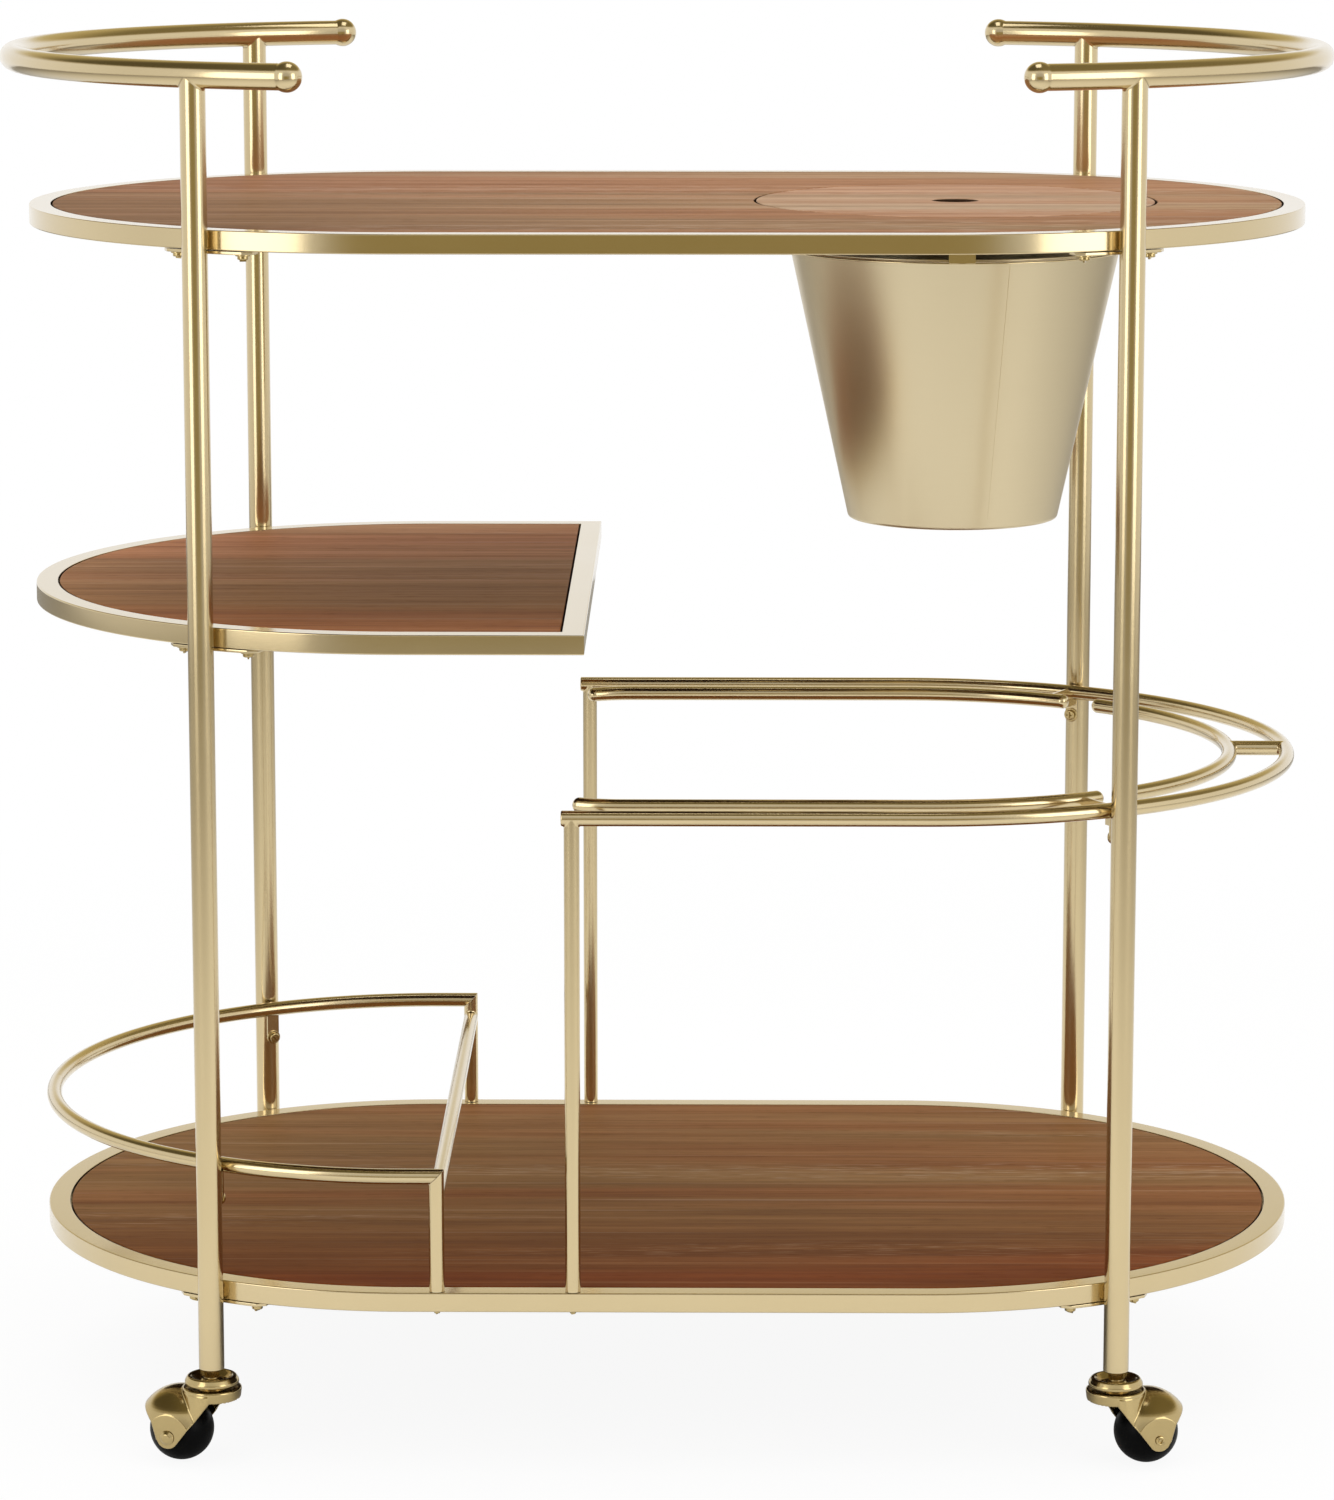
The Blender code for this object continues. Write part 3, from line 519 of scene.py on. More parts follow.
for corner, (end, side) in corners.items():
    angle = postTurn(end, side)
    x, y = polar(end, postCircle, angle)
    radius, top = postShape["radius"], plan["handleHeight"]
    low, high, reach = postShape["bottom"], top - plan["overlap"], postShape["weldTurn"]
    wall = eased([(0.0, low, 0), (radius, low, postShape["ease"]), (radius, high, 0), (0.0, high, 0)])
    body = lathe(wall, 48, place=moved((x, y, 0)))
    over = atHeight(endArc(end, postCircle, angle - reach, angle + reach, 8), top)
    stub = [(x, y, top - postShape["stub"]), (x, y, top)]
    joint = weld(postShape["voxel"], (stub, radius), (over, plan["tubeRadius"]))
    goldPiece("weldedPost_" + corner, joined([body, joint]), "post_" + corner)

for name, end in (("left", -1), ("right", 1)):
    facing = 0.0 if end > 0 else math.pi
    reach = handleShape["endAngle"]
    bend = atHeight(endArc(end, postCircle, facing - reach, facing + reach), plan["handleHeight"])
    goldPiece("bentHandle_" + name, tube(bend, plan["tubeRadius"], sides=48), "handle_" + name)
    for sideName, side in sides.items():
        tip, before = (bend[-1], bend[-2]) if side == end else (bend[0], bend[1])
        outward = (Vector(tip) - Vector(before)).normalized()
        ball = handleShape["ball"]
        seat = math.sqrt(ball ** 2 - plan["tubeRadius"] ** 2) + seatGap
        knob = sphere(ball, moved(Vector(tip) + outward * seat))
        stub = tube([Vector(tip) - outward * handleShape["stub"], tip], plan["tubeRadius"])
        corner = f"{sideName}_{name}"
        finial = newObject("finial", joined([knob, stub]))
        goldPiece("ballFinial_" + corner, softened(finial, handleShape["voxel"], handleShape["rounds"]),
                  "handle_finial_" + corner)
print("posts and handles made")


# Shelves

rimShape = {"width": 0.0135, "height": 0.012, "ledgeWidth": 0.009, "ledge": 0.002, "edge": 0.0008}
panelShape = {"thickness": 0.0098, "gap": 0.0011, "ease": 0.0010}
plateShape = {"length": 0.062, "width": 0.016, "thickness": 0.002, "corner": 0.004, "ease": 0.0004,
              "screwSpread": 0.023, "screwCircle": 0.2365}
veneerCuts = {  # where each figure is cut from, its tint, and its painted sheen and shade from start to stop along an axis; the tints brighten or darken the same veneer for the light on each shelf, which is painted light, and the lid's paler, greyer tint is a painted sheen
    "top": ((0.0, 0.0, 0.0), (0.97, 1.0, 1.14),
            ("X", -0.36, 0.36, (0.86, 0.88, 0.97), (1.13, 1.30, 1.46))),
    "middle": ((0.6, 0.31, 0.0), (1.35, 1.33, 1.39),
               ("Y", -0.22, 0.22, (0.91, 0.86, 0.77), (1.31, 1.32, 1.50))),
    "bottom": ((-0.4, 0.87, 0.0), (0.87, 0.79, 0.71),
               ("Y", -0.22, 0.02, (0.78, 0.55, 0.40), (1.10, 1.20, 1.21))),
    "lid": ((0.03, 0.012, 0.0), (1.20, 1.34, 1.70),
            ("X", -0.36, 0.36, (1.0, 1.1, 1.2), (1.06, 1.27, 1.52))),
}
hatch = {"x": 0.182, "radius": 0.127, "lidGap": 0.0012, "fingerRadius": 0.0145}
screws = []  # (place, facing, size) of every screw on the cart
screwSizes = {"plate": 1.0, "tab": 1.0, "upright": 0.55}

for shelf, top in plan["shelfTops"].items():
    edge = plan["middleEdge"] if shelf == "middle" else None
    width, height, soft = rimShape["width"], rimShape["height"], rimShape["edge"]
    floor = rimShape["ledge"] - height
    reach = width + rimShape["ledgeWidth"]
    section = eased([(0.0, -height, soft), (0.0, 0.0, soft), (width, 0.0, 0.4 * soft), (width, floor, 0),
                     (reach, floor, 0.3 * soft), (reach, -height, 0.3 * soft)], closed=True, steps=4)
    loops = [atHeight(shelfOutline(inset, edge), top + z) for inset, z in section]
    goldPiece("foldedRim_" + shelf, skinned(loops), shelf + "_shelf_rim")

    bottom = top + floor + seatGap
    inset = width + panelShape["gap"]
    outlines = [lambda more, inset=inset, edge=edge: shelfOutline(inset + more, edge)]
    if shelf == "top":
        outlines.append(roundOutline(hatch["x"], hatch["radius"], -1))
    face = bottom + panelShape["thickness"]
    board = plate(outlines, bottom, face, panelShape["ease"])
    wood = walnutVeneer(shelf + "WalnutVeneer", walnutLook, *veneerCuts[shelf], face)
    addPiece("veneerPanel_" + shelf, board, wood, "cart", [shelf + "_shelf_panel"], 50.0)

    for corner, (end, side) in corners.items():
        if shelf == "middle" and end > 0:
            continue
        middle = postTurn(end, side)
        outer = postCircle - plan["tubeRadius"] - seatGap
        inner = outer - plateShape["width"]
        half = plateShape["length"] / 2 / (plan["endRadius"] - width / 2)

        def strip(inset, end=end, middle=middle, outer=outer, inner=inner, half=half):
            turn = half - inset / outer
            rows = []
            for radius, start in ((outer - inset, -1), (inner + inset, 1)):
                for k in range(13):  # ends drawn in to round the corners
                    t = start * (1 - k / 6)
                    sag = max(0.0, abs(t) * half * outer - (half * outer - plateShape["corner"]))
                    lift = plateShape["corner"] - math.sqrt(max(plateShape["corner"] ** 2 - sag ** 2, 0.0))
                    pull = -lift if start < 0 else lift
                    rows.append(polar(end, radius + pull, middle + turn * t))
            return rows
        under = top - height - seatGap
        low = under - plateShape["thickness"]
        goldPiece(f"screwPlate_{shelf}_{corner}", plate([strip], low, under, plateShape["ease"]),
                  f"{shelf}_plate_{corner}")
        for way in (-1, 1):
            angle = middle + way * plateShape["screwSpread"] / plateShape["screwCircle"]
            x, y = polar(end, plateShape["screwCircle"], angle)
            screws.append(((x, y, low), (0, 0, -1), screwSizes["plate"]))
print("shelves made")


# Ice bucket in its hanger, under a flush lid

bucketShape = {
    "topRadius": 0.1044,
    "baseRadius": 0.0664,
    "depth": 0.1719,
    "wall": 0.0012,
    "corner": 0.0028,
    "flangeRadius": 0.1064,
    "flange": 0.0014,
    "tuck": 0.0002,
    "underRound": 0.0006,
    "lipRound": 0.0007,
    "mouthRound": 0.0012,
    "seamTurn": math.radians(-72.7),
    "seamWidth": 0.0024,
    "seamLift": 0.00010,
    "seamRun": ((0.04, 0.0), (0.045, 1.0), (0.985, 1.0), (0.99, 0.0)),  # shares of the depth and the lift
    "seamSection": ((-0.5, -0.0004), (-0.42, None), (0.42, None), (0.5, -0.0004),
                    (0.4, -0.0008), (-0.4, -0.0008)),
}
hangerShape = {"drop": 0.0194, "thickness": 0.002, "ledgeRadius": 0.140, "strapInner": 0.1068,
               "ringOuter": 0.1091, "ringInner": 0.1050, "strapWidth": 0.0165, "ease": 0.0003,
               "ringThickness": 0.001}

panelBottom = plan["shelfTops"]["top"] - rimShape["height"] + rimShape["ledge"] + seatGap
hangerTop = panelBottom - seatGap
ringTop = hangerTop - hangerShape["drop"]
atBucket = moved((hatch["x"], 0, 0))
thick = hangerShape["thickness"]


def flatRing(outer, inner, bottom, top):
    outlines = [roundOutline(hatch["x"], outer), roundOutline(hatch["x"], inner, -1)]
    return plate(outlines, bottom, top, hangerShape["ease"])


def strap(inset):
    inner, half = hangerShape["strapInner"] + seatGap, hangerShape["strapWidth"] / 2
    return [(inner + inset, inset - half), (inner + thick - inset, inset - half),
            (inner + thick - inset, half - inset), (inner + inset, half - inset)]


hanger = [flatRing(hangerShape["ledgeRadius"], hangerShape["strapInner"], hangerTop - thick, hangerTop),
          flatRing(hangerShape["ringOuter"], hangerShape["ringInner"], ringTop - hangerShape["ringThickness"],
                   ringTop)]
for k in range(4):
    place = atBucket @ Matrix.Rotation(k * quarter, 4, "Z")
    low = ringTop - hangerShape["ringThickness"] / 2
    hanger.append(plate([strap], low, hangerTop - thick / 2, hangerShape["ease"], place))
goldPiece("bucketHanger", joined(hanger), "bucket_hanger")

flangeBottom = ringTop + seatGap
base = flangeBottom - bucketShape["depth"]
wall, under = bucketShape["wall"], bucketShape["underRound"]
topRadius, baseRadius = bucketShape["topRadius"], bucketShape["baseRadius"]
flange, flangeTop = bucketShape["flangeRadius"], flangeBottom + bucketShape["flange"]
slope = (topRadius - baseRadius) / bucketShape["depth"]
outside = [(0.0, base, 0), (baseRadius, base, bucketShape["corner"]),
           (topRadius - bucketShape["tuck"], flangeBottom, under), (flange, flangeBottom, under),
           (flange, flangeTop, bucketShape["lipRound"]),
           (topRadius - wall, flangeTop, bucketShape["mouthRound"]),
           (baseRadius - wall + slope * wall, base + wall, bucketShape["corner"] - wall),
           (0.0, base + wall, 0)]
spun = lathe(eased(outside, steps=8), 160, place=atBucket)
seam = []
for t, lift in bucketShape["seamRun"]:  # folded lap seam up the wall
    height = base + t * bucketShape["depth"]
    radius = baseRadius + t * bucketShape["depth"] * slope
    loop = []
    for across, out in bucketShape["seamSection"]:
        far = radius + (bucketShape["seamLift"] * lift if out is None else out)
        turn = bucketShape["seamTurn"] + across * bucketShape["seamWidth"] / radius
        loop.append((hatch["x"] + far * math.cos(turn), far * math.sin(turn), height))
    seam.append(loop)
addPiece("spunBucket", joined([spun, skinned(seam, ring=False)]), bucketGold, "bucket",
         ["ice_bucket_wall", "ice_bucket_base"])

lidTop = panelBottom + panelShape["thickness"]
disc = [roundOutline(hatch["x"], hatch["radius"] - hatch["lidGap"]),
        roundOutline(hatch["x"], hatch["fingerRadius"], -1, 64)]
lid = plate(disc, panelBottom, lidTop, panelShape["ease"])
wood = walnutVeneer("lidWalnutVeneer", walnutLook, *veneerCuts["lid"], lidTop)
addPiece("veneerLid", lid, wood, "lid", ["bucket_lid"], 50.0)
print("ice bucket made")


# Stemware rack on the right

rackShape = {
    "height": 0.408,
    "uprightX": -0.055,
    "overhang": 0.0065,
    "innerCircle": 0.20275,
    "innerStop": math.radians(33.0),
    "loopStart": math.radians(38.7),
    "flareLength": 0.030,
    "flareDepth": 0.0075,
    "stub": 0.013,
    "gusset": 0.002,
    "gussetTop": 0.003,
    "gussetBottom": 0.0042,
    "gussetFoot": 0.010,
    "tab": (0.018, 0.0160),
    "roundEnd": 0.0042,
    "flatEnd": 0.0009,
    "weldTurn": 0.05,
    "ease": 0.0003,
}
tabShape = {"width": 0.0085, "thickness": 0.002, "drop": 0.003, "ease": 0.0003}


def trimmed(path, length):  # the path without its last stretch
    path = list(path)
    while (path[-1] - path[-2]).length < length:
        length -= (path[-1] - path[-2]).length
        path.pop()
    path[-1] = path[-1] + (path[-2] - path[-1]).normalized() * length
    return path


def cappedRail(points, ease):  # a tube whose ends are closed with rounded caps
    radius = plan["railRadius"]
    path = [Vector(point) for point in points]
    caps = []
    for k in range(2):
        path = trimmed(path, ease)[::-1]
        turns = [quarter * (1 - n / 8) for n in range(9)]
        shoulder = [(radius - ease + ease * math.cos(a), ease * math.sin(a)) for a in turns]
        cap = [(0.0, ease)] + shoulder + [(0.0, 0.0)]
        aim = (path[0] - path[1]).to_track_quat("Z", "Y").to_matrix().to_4x4()
        caps.append(lathe(cap, 40, place=moved(path[0]) @ aim))
    return joined([tube(path, radius)] + caps)


def tabPlate(end, side, railHeight, length, screwDrop):  # round-ended tab on a post, under a rail
    half, top = tabShape["width"] / 2, railHeight - tabShape["drop"]
    low = top - length + half
    face = postCircle - plan["tubeRadius"] - seatGap

    def outline(inset):
        turns = [math.pi * (1 + k / 16) for k in range(17)]
        foot = [((half - inset) * math.cos(a), low + (half - inset) * math.sin(a)) for a in turns]
        return foot + [(half - inset, top - inset), (inset - half, top - inset)]
    angle = postTurn(end, side)
    turn = Matrix(((0, 0, 1, 0), (1, 0, 0, 0), (0, 1, 0, 0), (0, 0, 0, 1)))
    place = moved((end * plan["endCentre"], 0, 0)) @ Matrix.Rotation(angle, 4, "Z") @ turn
    inner = face - tabShape["thickness"]
    x, y = polar(end, inner, angle)
    facing = (-math.cos(angle), -math.sin(angle), 0)
    screws.append(((x, y, railHeight - screwDrop), facing, screwSizes["tab"]))
    return plate([outline], inner, face, tabShape["ease"], place)


rackHeight = rackShape["height"]
underRim = plan["shelfTops"]["bottom"] - rimShape["height"]
left = rackShape["uprightX"] - rackShape["overhang"]
bow = [(left, -railCircle)] + endArc(1, railCircle, -quarter, quarter) + [(left, railCircle)]
goldPiece("bentOuterRail", cappedRail(atHeight(bow, rackHeight), rackShape["flatEnd"]), "rack_outer_rail")
stop, innerCircle = quarter - rackShape["loopStart"], rackShape["innerCircle"]
loop = cappedRail(atHeight(endArc(1, innerCircle, -stop, stop), rackHeight), rackShape["roundEnd"])
rail, reach = plan["railRadius"], rackShape["weldTurn"]
bars = [([(plan["endCentre"] + r, 0, rackHeight) for r in (innerCircle, railCircle)], rail)]  # spacer first
for r in (innerCircle, railCircle):
    bars.append((atHeight(endArc(1, r, -reach, reach, 8), rackHeight), rail))
goldPiece("bentInnerLoop", joined([loop, weld(plan["railVoxel"], *bars)]), "rack_inner_loop")

for name, side in sides.items():
    path = []
    for k in range(24):
        bent = 1 - k / 24
        x = rackShape["uprightX"] + rackShape["flareLength"] * (1 - bent)
        path.append((x, side * (innerCircle - rackShape["flareDepth"] * bent ** 2)))
    path.append((rackShape["uprightX"] + rackShape["flareLength"], side * innerCircle))
    path += endArc(1, innerCircle, side * quarter, side * (quarter - rackShape["innerStop"]), 24)
    goldPiece("bentInnerRail_" + name, cappedRail(atHeight(path, rackHeight), rackShape["roundEnd"]),
              "rack_inner_rail_" + name)

    x, y = rackShape["uprightX"], side * railCircle
    foot = plan["shelfTops"]["bottom"] + seatGap
    stub = [(x, y, rackHeight - rackShape["stub"]), (x, y, rackHeight)]
    over = [(x - rackShape["overhang"], y, rackHeight), (x + rackShape["stub"], y, rackHeight)]
    upright = [tube([(x, y, foot), (x, y, rackHeight - plan["overlap"])], rail),
               weld(plan["railVoxel"], (stub, rail), (over, rail))]
    goldPiece("rackUpright_" + name, joined(upright), "rack_upright_" + name)
    screws.append(((x, y, underRim), (0, 0, -1), screwSizes["upright"]))

    outer = postCircle - plan["tubeRadius"] - seatGap - tabShape["thickness"] / 2

    def web(inset, outer=outer):
        top, drop = rackShape["gussetTop"] - inset, -tabShape["drop"] - inset
        low = inset - rackShape["gussetBottom"]
        inner, foot = innerCircle + inset, inset - rackShape["gussetFoot"]
        heel = railCircle - rail - rackShape["gusset"] + inset
        return [(inner, top), (railCircle - inset, top), (railCircle - inset, drop), (outer - inset, drop),
                (outer - inset, foot), (heel, foot), (heel, low), (inner, low)]
    turn = Matrix.Rotation(postTurn(1, side), 4, "Z") @ Matrix.Rotation(quarter, 4, "X")
    place = moved((plan["endCentre"], 0, rackHeight)) @ turn
    half = rackShape["gusset"] / 2
    gusset = plate([web], -half, half, rackShape["ease"], place)
    goldPiece("rackBracket_" + name, joined([gusset, tabPlate(1, side, rackHeight, *rackShape["tab"])]),
              "rack_bracket_" + name)
print("rack made")


# Bottle gallery on the lower left

galleryShape = {"height": 0.186, "uprightX": -0.138, "crossDrop": 0.0125, "stub": 0.012, "stubTop": 0.008,
                "tab": (0.022, 0.0205)}


def mitred(path, normal, point):  # trims the tube's last ring onto the mitre plane
    mesh = tube(path, rail)
    normal, point, end = Vector(normal).normalized(), Vector(point), Vector(path[-1])
    along = (end - Vector(path[-2])).normalized()
    for vertex in mesh.vertices:
        if (vertex.co - end).dot(along) > -1e-6 and (vertex.co - end).length < 2 * rail:
            vertex.co -= along * ((vertex.co - point).dot(normal) / along.dot(normal))
    return mesh


galleryHeight, galleryX = galleryShape["height"], galleryShape["uprightX"]
bow = endArc(-1, railCircle, quarter, 3 * quarter)
railPath = atHeight([(galleryX, railCircle)] + bow + [(galleryX, -railCircle)], galleryHeight)
middle = len(railPath) // 2
gap = Vector((1, 0, -1)).normalized() * seatGap / 2
galleryRail = []
for path in (railPath[:middle + 1][::-1], railPath[middle:]):
    galleryRail.append(mitred(path, (1, 0, -1), Vector(path[-1]) - gap))
goldPiece("bentGalleryRail", joined(galleryRail), "gallery_rail")
crossHeight = galleryHeight - galleryShape["crossDrop"]
cross = [tube([(galleryX, side * (railCircle - plan["overlap"]), crossHeight) for side in (-1, 1)], rail)]
for name, side in sides.items():
    y = side * railCircle
    top = Vector((galleryX, y, galleryHeight))
    foot = (galleryX, y, plan["shelfTops"]["bottom"] + seatGap)
    upright = mitred([foot, tuple(top)], (1, 0, -1), top + gap)
    goldPiece("galleryUpright_" + name, upright, "gallery_upright_" + name)
    stub = [(galleryX, y - side * galleryShape["stub"], crossHeight), (galleryX, y, crossHeight)]
    ends = (crossHeight - galleryShape["stub"], crossHeight + galleryShape["stubTop"])
    bar = [(galleryX, y, z) for z in ends]
    cross.append(weld(plan["railVoxel"], (stub, rail), (bar, rail)))
    tab = tabPlate(-1, side, galleryHeight, *galleryShape["tab"])
    goldPiece("galleryTab_" + name, tab, "gallery_tab_" + name)
    screws.append(((galleryX, y, underRim), (0, 0, -1), screwSizes["upright"]))
goldPiece("galleryCrossTube", joined(cross), "gallery_cross_tube")
print("gallery made")


# Pan-head screws

screwShape = {"radius": 0.0034, "height": 0.0022, "round": 0.0009, "washer": 0.0046, "washerHeight": 0.0011,
              "washerRound": 0.0003, "sunk": 0.0006, "slotWidth": 0.0010, "slotLength": 0.0040,
              "slotDepth": 0.0011, "seed": 7}
low, high = screwShape["washerHeight"], screwShape["washerHeight"] + screwShape["height"]
radius, washer = screwShape["radius"], screwShape["washer"]
head = lathe(eased([(0.0, -screwShape["sunk"], 0), (washer, -screwShape["sunk"], 0),
                    (washer, low, screwShape["washerRound"]), (radius, low, 0),
                    (radius, high, screwShape["round"]), (0.0, high, 0)], steps=4), 32)
pattern = newObject("screwPattern", head)
cutters = []
for name, turn in (("slotA", 0.0), ("slotB", quarter)):
    work = bmesh.new()
    size = (screwShape["slotLength"], screwShape["slotWidth"], 2 * screwShape["slotDepth"], 1.0)
    place = moved((0, 0, high)) @ Matrix.Rotation(turn, 4, "Z") @ Matrix.Diagonal(size)
    bmesh.ops.create_cube(work, size=1.0, matrix=place)
    cutter = newObject(name, toMesh(work))
    cut = pattern.modifiers.new(name, "BOOLEAN")
    cut.operation = "DIFFERENCE"
    cut.solver = "EXACT"
    cut.object = cutter
    cutters.append(cutter)

screwTree, screwBook, screwStart = newTree(
    "screwsOnPoints", {"Screw": "NodeSocketObject", "Seed": "NodeSocketInt", "Finish": "NodeSocketMaterial"})
screwHead = screwBook.node("GeometryNodeObjectInfo", None, {"Object": screwStart.other("Screw")}, "Geometry")
screwFacing = screwBook.node("GeometryNodeInputNamedAttribute", {"data_type": "FLOAT_VECTOR"}, {
    "Name": "facing"})
screwTurn = screwBook.node("FunctionNodeAlignRotationToVector", {"axis": "Z"}, {"Vector": screwFacing})
screwAngle = screwBook.node("FunctionNodeRandomValue", {"data_type": "FLOAT"}, {
    2: 0.0, 3: math.pi, "Seed": screwStart.other("Seed")}, 1)
screwSpin = screwBook.node("FunctionNodeAxisAngleToRotation", None, {"Axis": (0, 0, 1), "Angle": screwAngle})
screwAim = screwBook.node("FunctionNodeRotateRotation", {"rotation_space": "LOCAL"}, {
    "Rotation": screwTurn, "Rotate By": screwSpin})
screwSize = screwBook.node("GeometryNodeInputNamedAttribute", {"data_type": "FLOAT"}, {"Name": "size"})
screwSet = screwBook.node("GeometryNodeInstanceOnPoints", None, {
    "Points": screwStart, "Instance": screwHead, "Rotation": screwAim, "Scale": screwSize})
endTree(screwBook, screwSet, screwStart.other("Finish"))

spots = bpy.data.meshes.new("screwSpots")
spots.from_pydata([place for place, facing, size in screws], [], [])
facings = spots.attributes.new("facing", "FLOAT_VECTOR", "POINT")
facings.data.foreach_set("vector", [c for place, facing, size in screws for c in facing])
sizes = spots.attributes.new("size", "FLOAT", "POINT")
sizes.data.foreach_set("value", [size for place, facing, size in screws])
heads = runTree(spots, screwTree, {"Screw": pattern, "Seed": screwShape["seed"], "Finish": screwBrass})
for obj in [pattern] + cutters:
    bpy.data.objects.remove(obj, do_unlink=True)
addPiece("panScrews", heads, screwBrass, "cart")
print("screws made:", len(screws))


# Ball casters

casterShape = {
    "wheel": 0.0198,
    "wheelHalf": 0.0175,
    "hub": 0.005,
    "trail": 0.0205,
    "trailAngle": math.radians(18.0),
    "hoodInner": 0.0262,
    "hoodOuter": 0.0275,
    "flankInner": 0.0222,
    "flankOuter": 0.0235,
    "foot": 0.0072,
    "rearAngle": math.radians(16.0),
    "frontAngle": math.radians(37.6),
    "neckDrop": 0.0025,
    "neckHalf": 0.020,
    "neckTurn": math.radians(105.0),
    "neckSpan": (0.014, 0.024),
    "dish": 0.0185,
    "dishTop": 0.0486,
    "dishHeight": 0.0075,
    "bowl": 0.0168,
    "bowlBottom": 0.0507,
    "bowlTop": 0.0557,
    "stem": 0.0050,
    "rivet": 0.0046,
    "visor": 0.0338,
    "visorDepth": 0.0167,
    "voxel": 0.00045,
}


def carve(obj, tool, operation):
    modifier = obj.modifiers.new(operation, "BOOLEAN")
    modifier.operation = operation
    modifier.solver = "EXACT"
    modifier.object = tool


def hoodNeck(shape, inset=0.0, reach=0.0):  # flare from the dish down to the hood's front edges
    radius, front = shape["dish"] - inset, shape["frontAngle"]
    across = Vector((-math.cos(front), -math.sin(front)))
    forward = Vector((-math.sin(front), math.cos(front)))
    top = shape["dishTop"]
    work = bmesh.new()
    for height in (top - shape["neckDrop"] - inset, top - shape["dishHeight"] - reach):
        for k in range(33):
            turn = shape["neckTurn"] * (k / 16 - 1)
            work.verts.new((radius * math.cos(turn), radius * math.sin(turn), height))
    for distance in shape["neckSpan"]:
        spot = (shape["foot"] + reach) * across + distance * forward
        x, z = shape["trail"] + spot.x, shape["wheel"] + spot.y
        for side in (-1, 1):
            work.verts.new((x, side * (shape["neckHalf"] - inset), z))
    hull = bmesh.ops.convex_hull(work, input=work.verts)
    bmesh.ops.delete(work, geom=hull["geom_interior"], context="VERTS")
    return toMesh(work)


def stampedHood(shape):
    axle = moved((shape["trail"], 0, shape["wheel"]))
    upright = Matrix.Rotation(quarter, 4, "X")
    start, stop = -shape["rearAngle"], shape["frontAngle"] - math.pi
    foot = [start + (stop - start) * k / 24 for k in range(25)]
    points = [Vector((shape["foot"] * math.cos(a), shape["foot"] * math.sin(a))) for a in foot]
    far = 2 * shape["hoodOuter"]
    front = points[-1] + far * Vector((-math.sin(shape["frontAngle"]), math.cos(shape["frontAngle"])))
    lean = Matrix.Rotation(shape["rearAngle"], 4, "Y")
    cosine, sine = math.cos(shape["rearAngle"]), math.sin(shape["rearAngle"])
    back = points[0] + shape["visorDepth"] * Vector((cosine, -sine))
    rear = back + far * Vector((sine, cosine))
    side = [tuple(p) for p in points + [front, rear, back]]
    visor = lathe([(0.0, -far), (shape["visor"], -far), (shape["visor"], far), (0.0, far)], 160,
                  place=axle @ lean @ moved((shape["visorDepth"] - shape["visor"], 0, 0)))
    flank = plate([lambda inset: side], -shape["flankOuter"], shape["flankOuter"], 0.0002, axle @ upright)
    dishBottom = shape["dishTop"] - shape["dishHeight"]
    dish = lathe(eased([(0.0, dishBottom - 0.001, 0), (shape["dish"] - 0.001, dishBottom - 0.001, 0.003),
                        (shape["dish"], shape["dishTop"], 0.0016), (0.0, shape["dishTop"], 0)]), 96)
    wall = shape["hoodOuter"] - shape["hoodInner"]
    recess = lathe([(0.0, dishBottom - 0.004), (shape["dish"] - wall, dishBottom - 0.004),
                    (shape["dish"] - wall, shape["dishTop"] - wall), (0.0, shape["dishTop"] - wall)], 96)
    slab = bmesh.new()
    size = Matrix.Diagonal((far, 2 * shape["flankInner"], far, 1.0))
    bmesh.ops.create_cube(slab, size=1.0, matrix=axle @ size)
    tools = {
        "flank": newObject("flankTool", flank),
        "visor": newObject("visorTool", visor),
        "neck": newObject("neckTool", hoodNeck(shape)),
        "dish": newObject("dishTool", dish),
        "inside": newObject("insideTool", hoodNeck(shape, wall, 2 * wall)),
        "hollow": newObject("hollowTool", sphere(shape["hoodInner"], axle)),
        "slab": newObject("slabTool", toMesh(slab)),
        "recess": newObject("recessTool", recess),
    }
    carve(tools["hollow"], tools["slab"], "INTERSECT")
    hood = newObject("hoodTool", sphere(shape["hoodOuter"], axle))
    carve(hood, tools["flank"], "INTERSECT")
    carve(hood, tools["visor"], "INTERSECT")
    carve(hood, tools["neck"], "UNION")
    carve(hood, tools["dish"], "UNION")
    for name in ("hollow", "inside", "recess"):
        carve(hood, tools[name], "DIFFERENCE")
    mesh = softened(hood, shape["voxel"], 5)
    for tool in tools.values():
        bpy.data.objects.remove(tool, do_unlink=True)
    return mesh


def casterBowl(shape):  # fixed bowl with a rolled lip, its neck, race and kingpin
    low, top, lip = shape["bowlBottom"], shape["bowlTop"], shape["bowl"]
    floor, stem, hidden = low + 0.0014, shape["stem"], postShape["bottom"] + 0.004
    race = shape["dishTop"] + seatGap
    profile = [(0.0, hidden, 0), (stem, hidden, 0), (stem - 0.0004, floor + 0.0020, 0.0006),
               (stem + 0.0012, floor + 0.0016, 0.0008), (stem + 0.0022, floor + 0.0004, 0.0006),
               (0.0092, floor, 0.0010), (lip - 0.0048, top - 0.0010, 0.0016), (lip - 0.0036, top, 0.0012),
               (lip - 0.0018, top - 0.0002, 0.0030), (lip, low + 0.0016, 0.0030), (lip - 0.0002, low, 0.0004),
               (0.0085, low, 0.0008), (0.0080, race, 0.0003), (0.003, race, 0),
               (0.003, 0.047, 0), (0.005, 0.0468, 0.0004), (0.005, 0.0455, 0.0006), (0.0, 0.0455, 0)]
    return lathe(eased(profile, steps=5), 80)


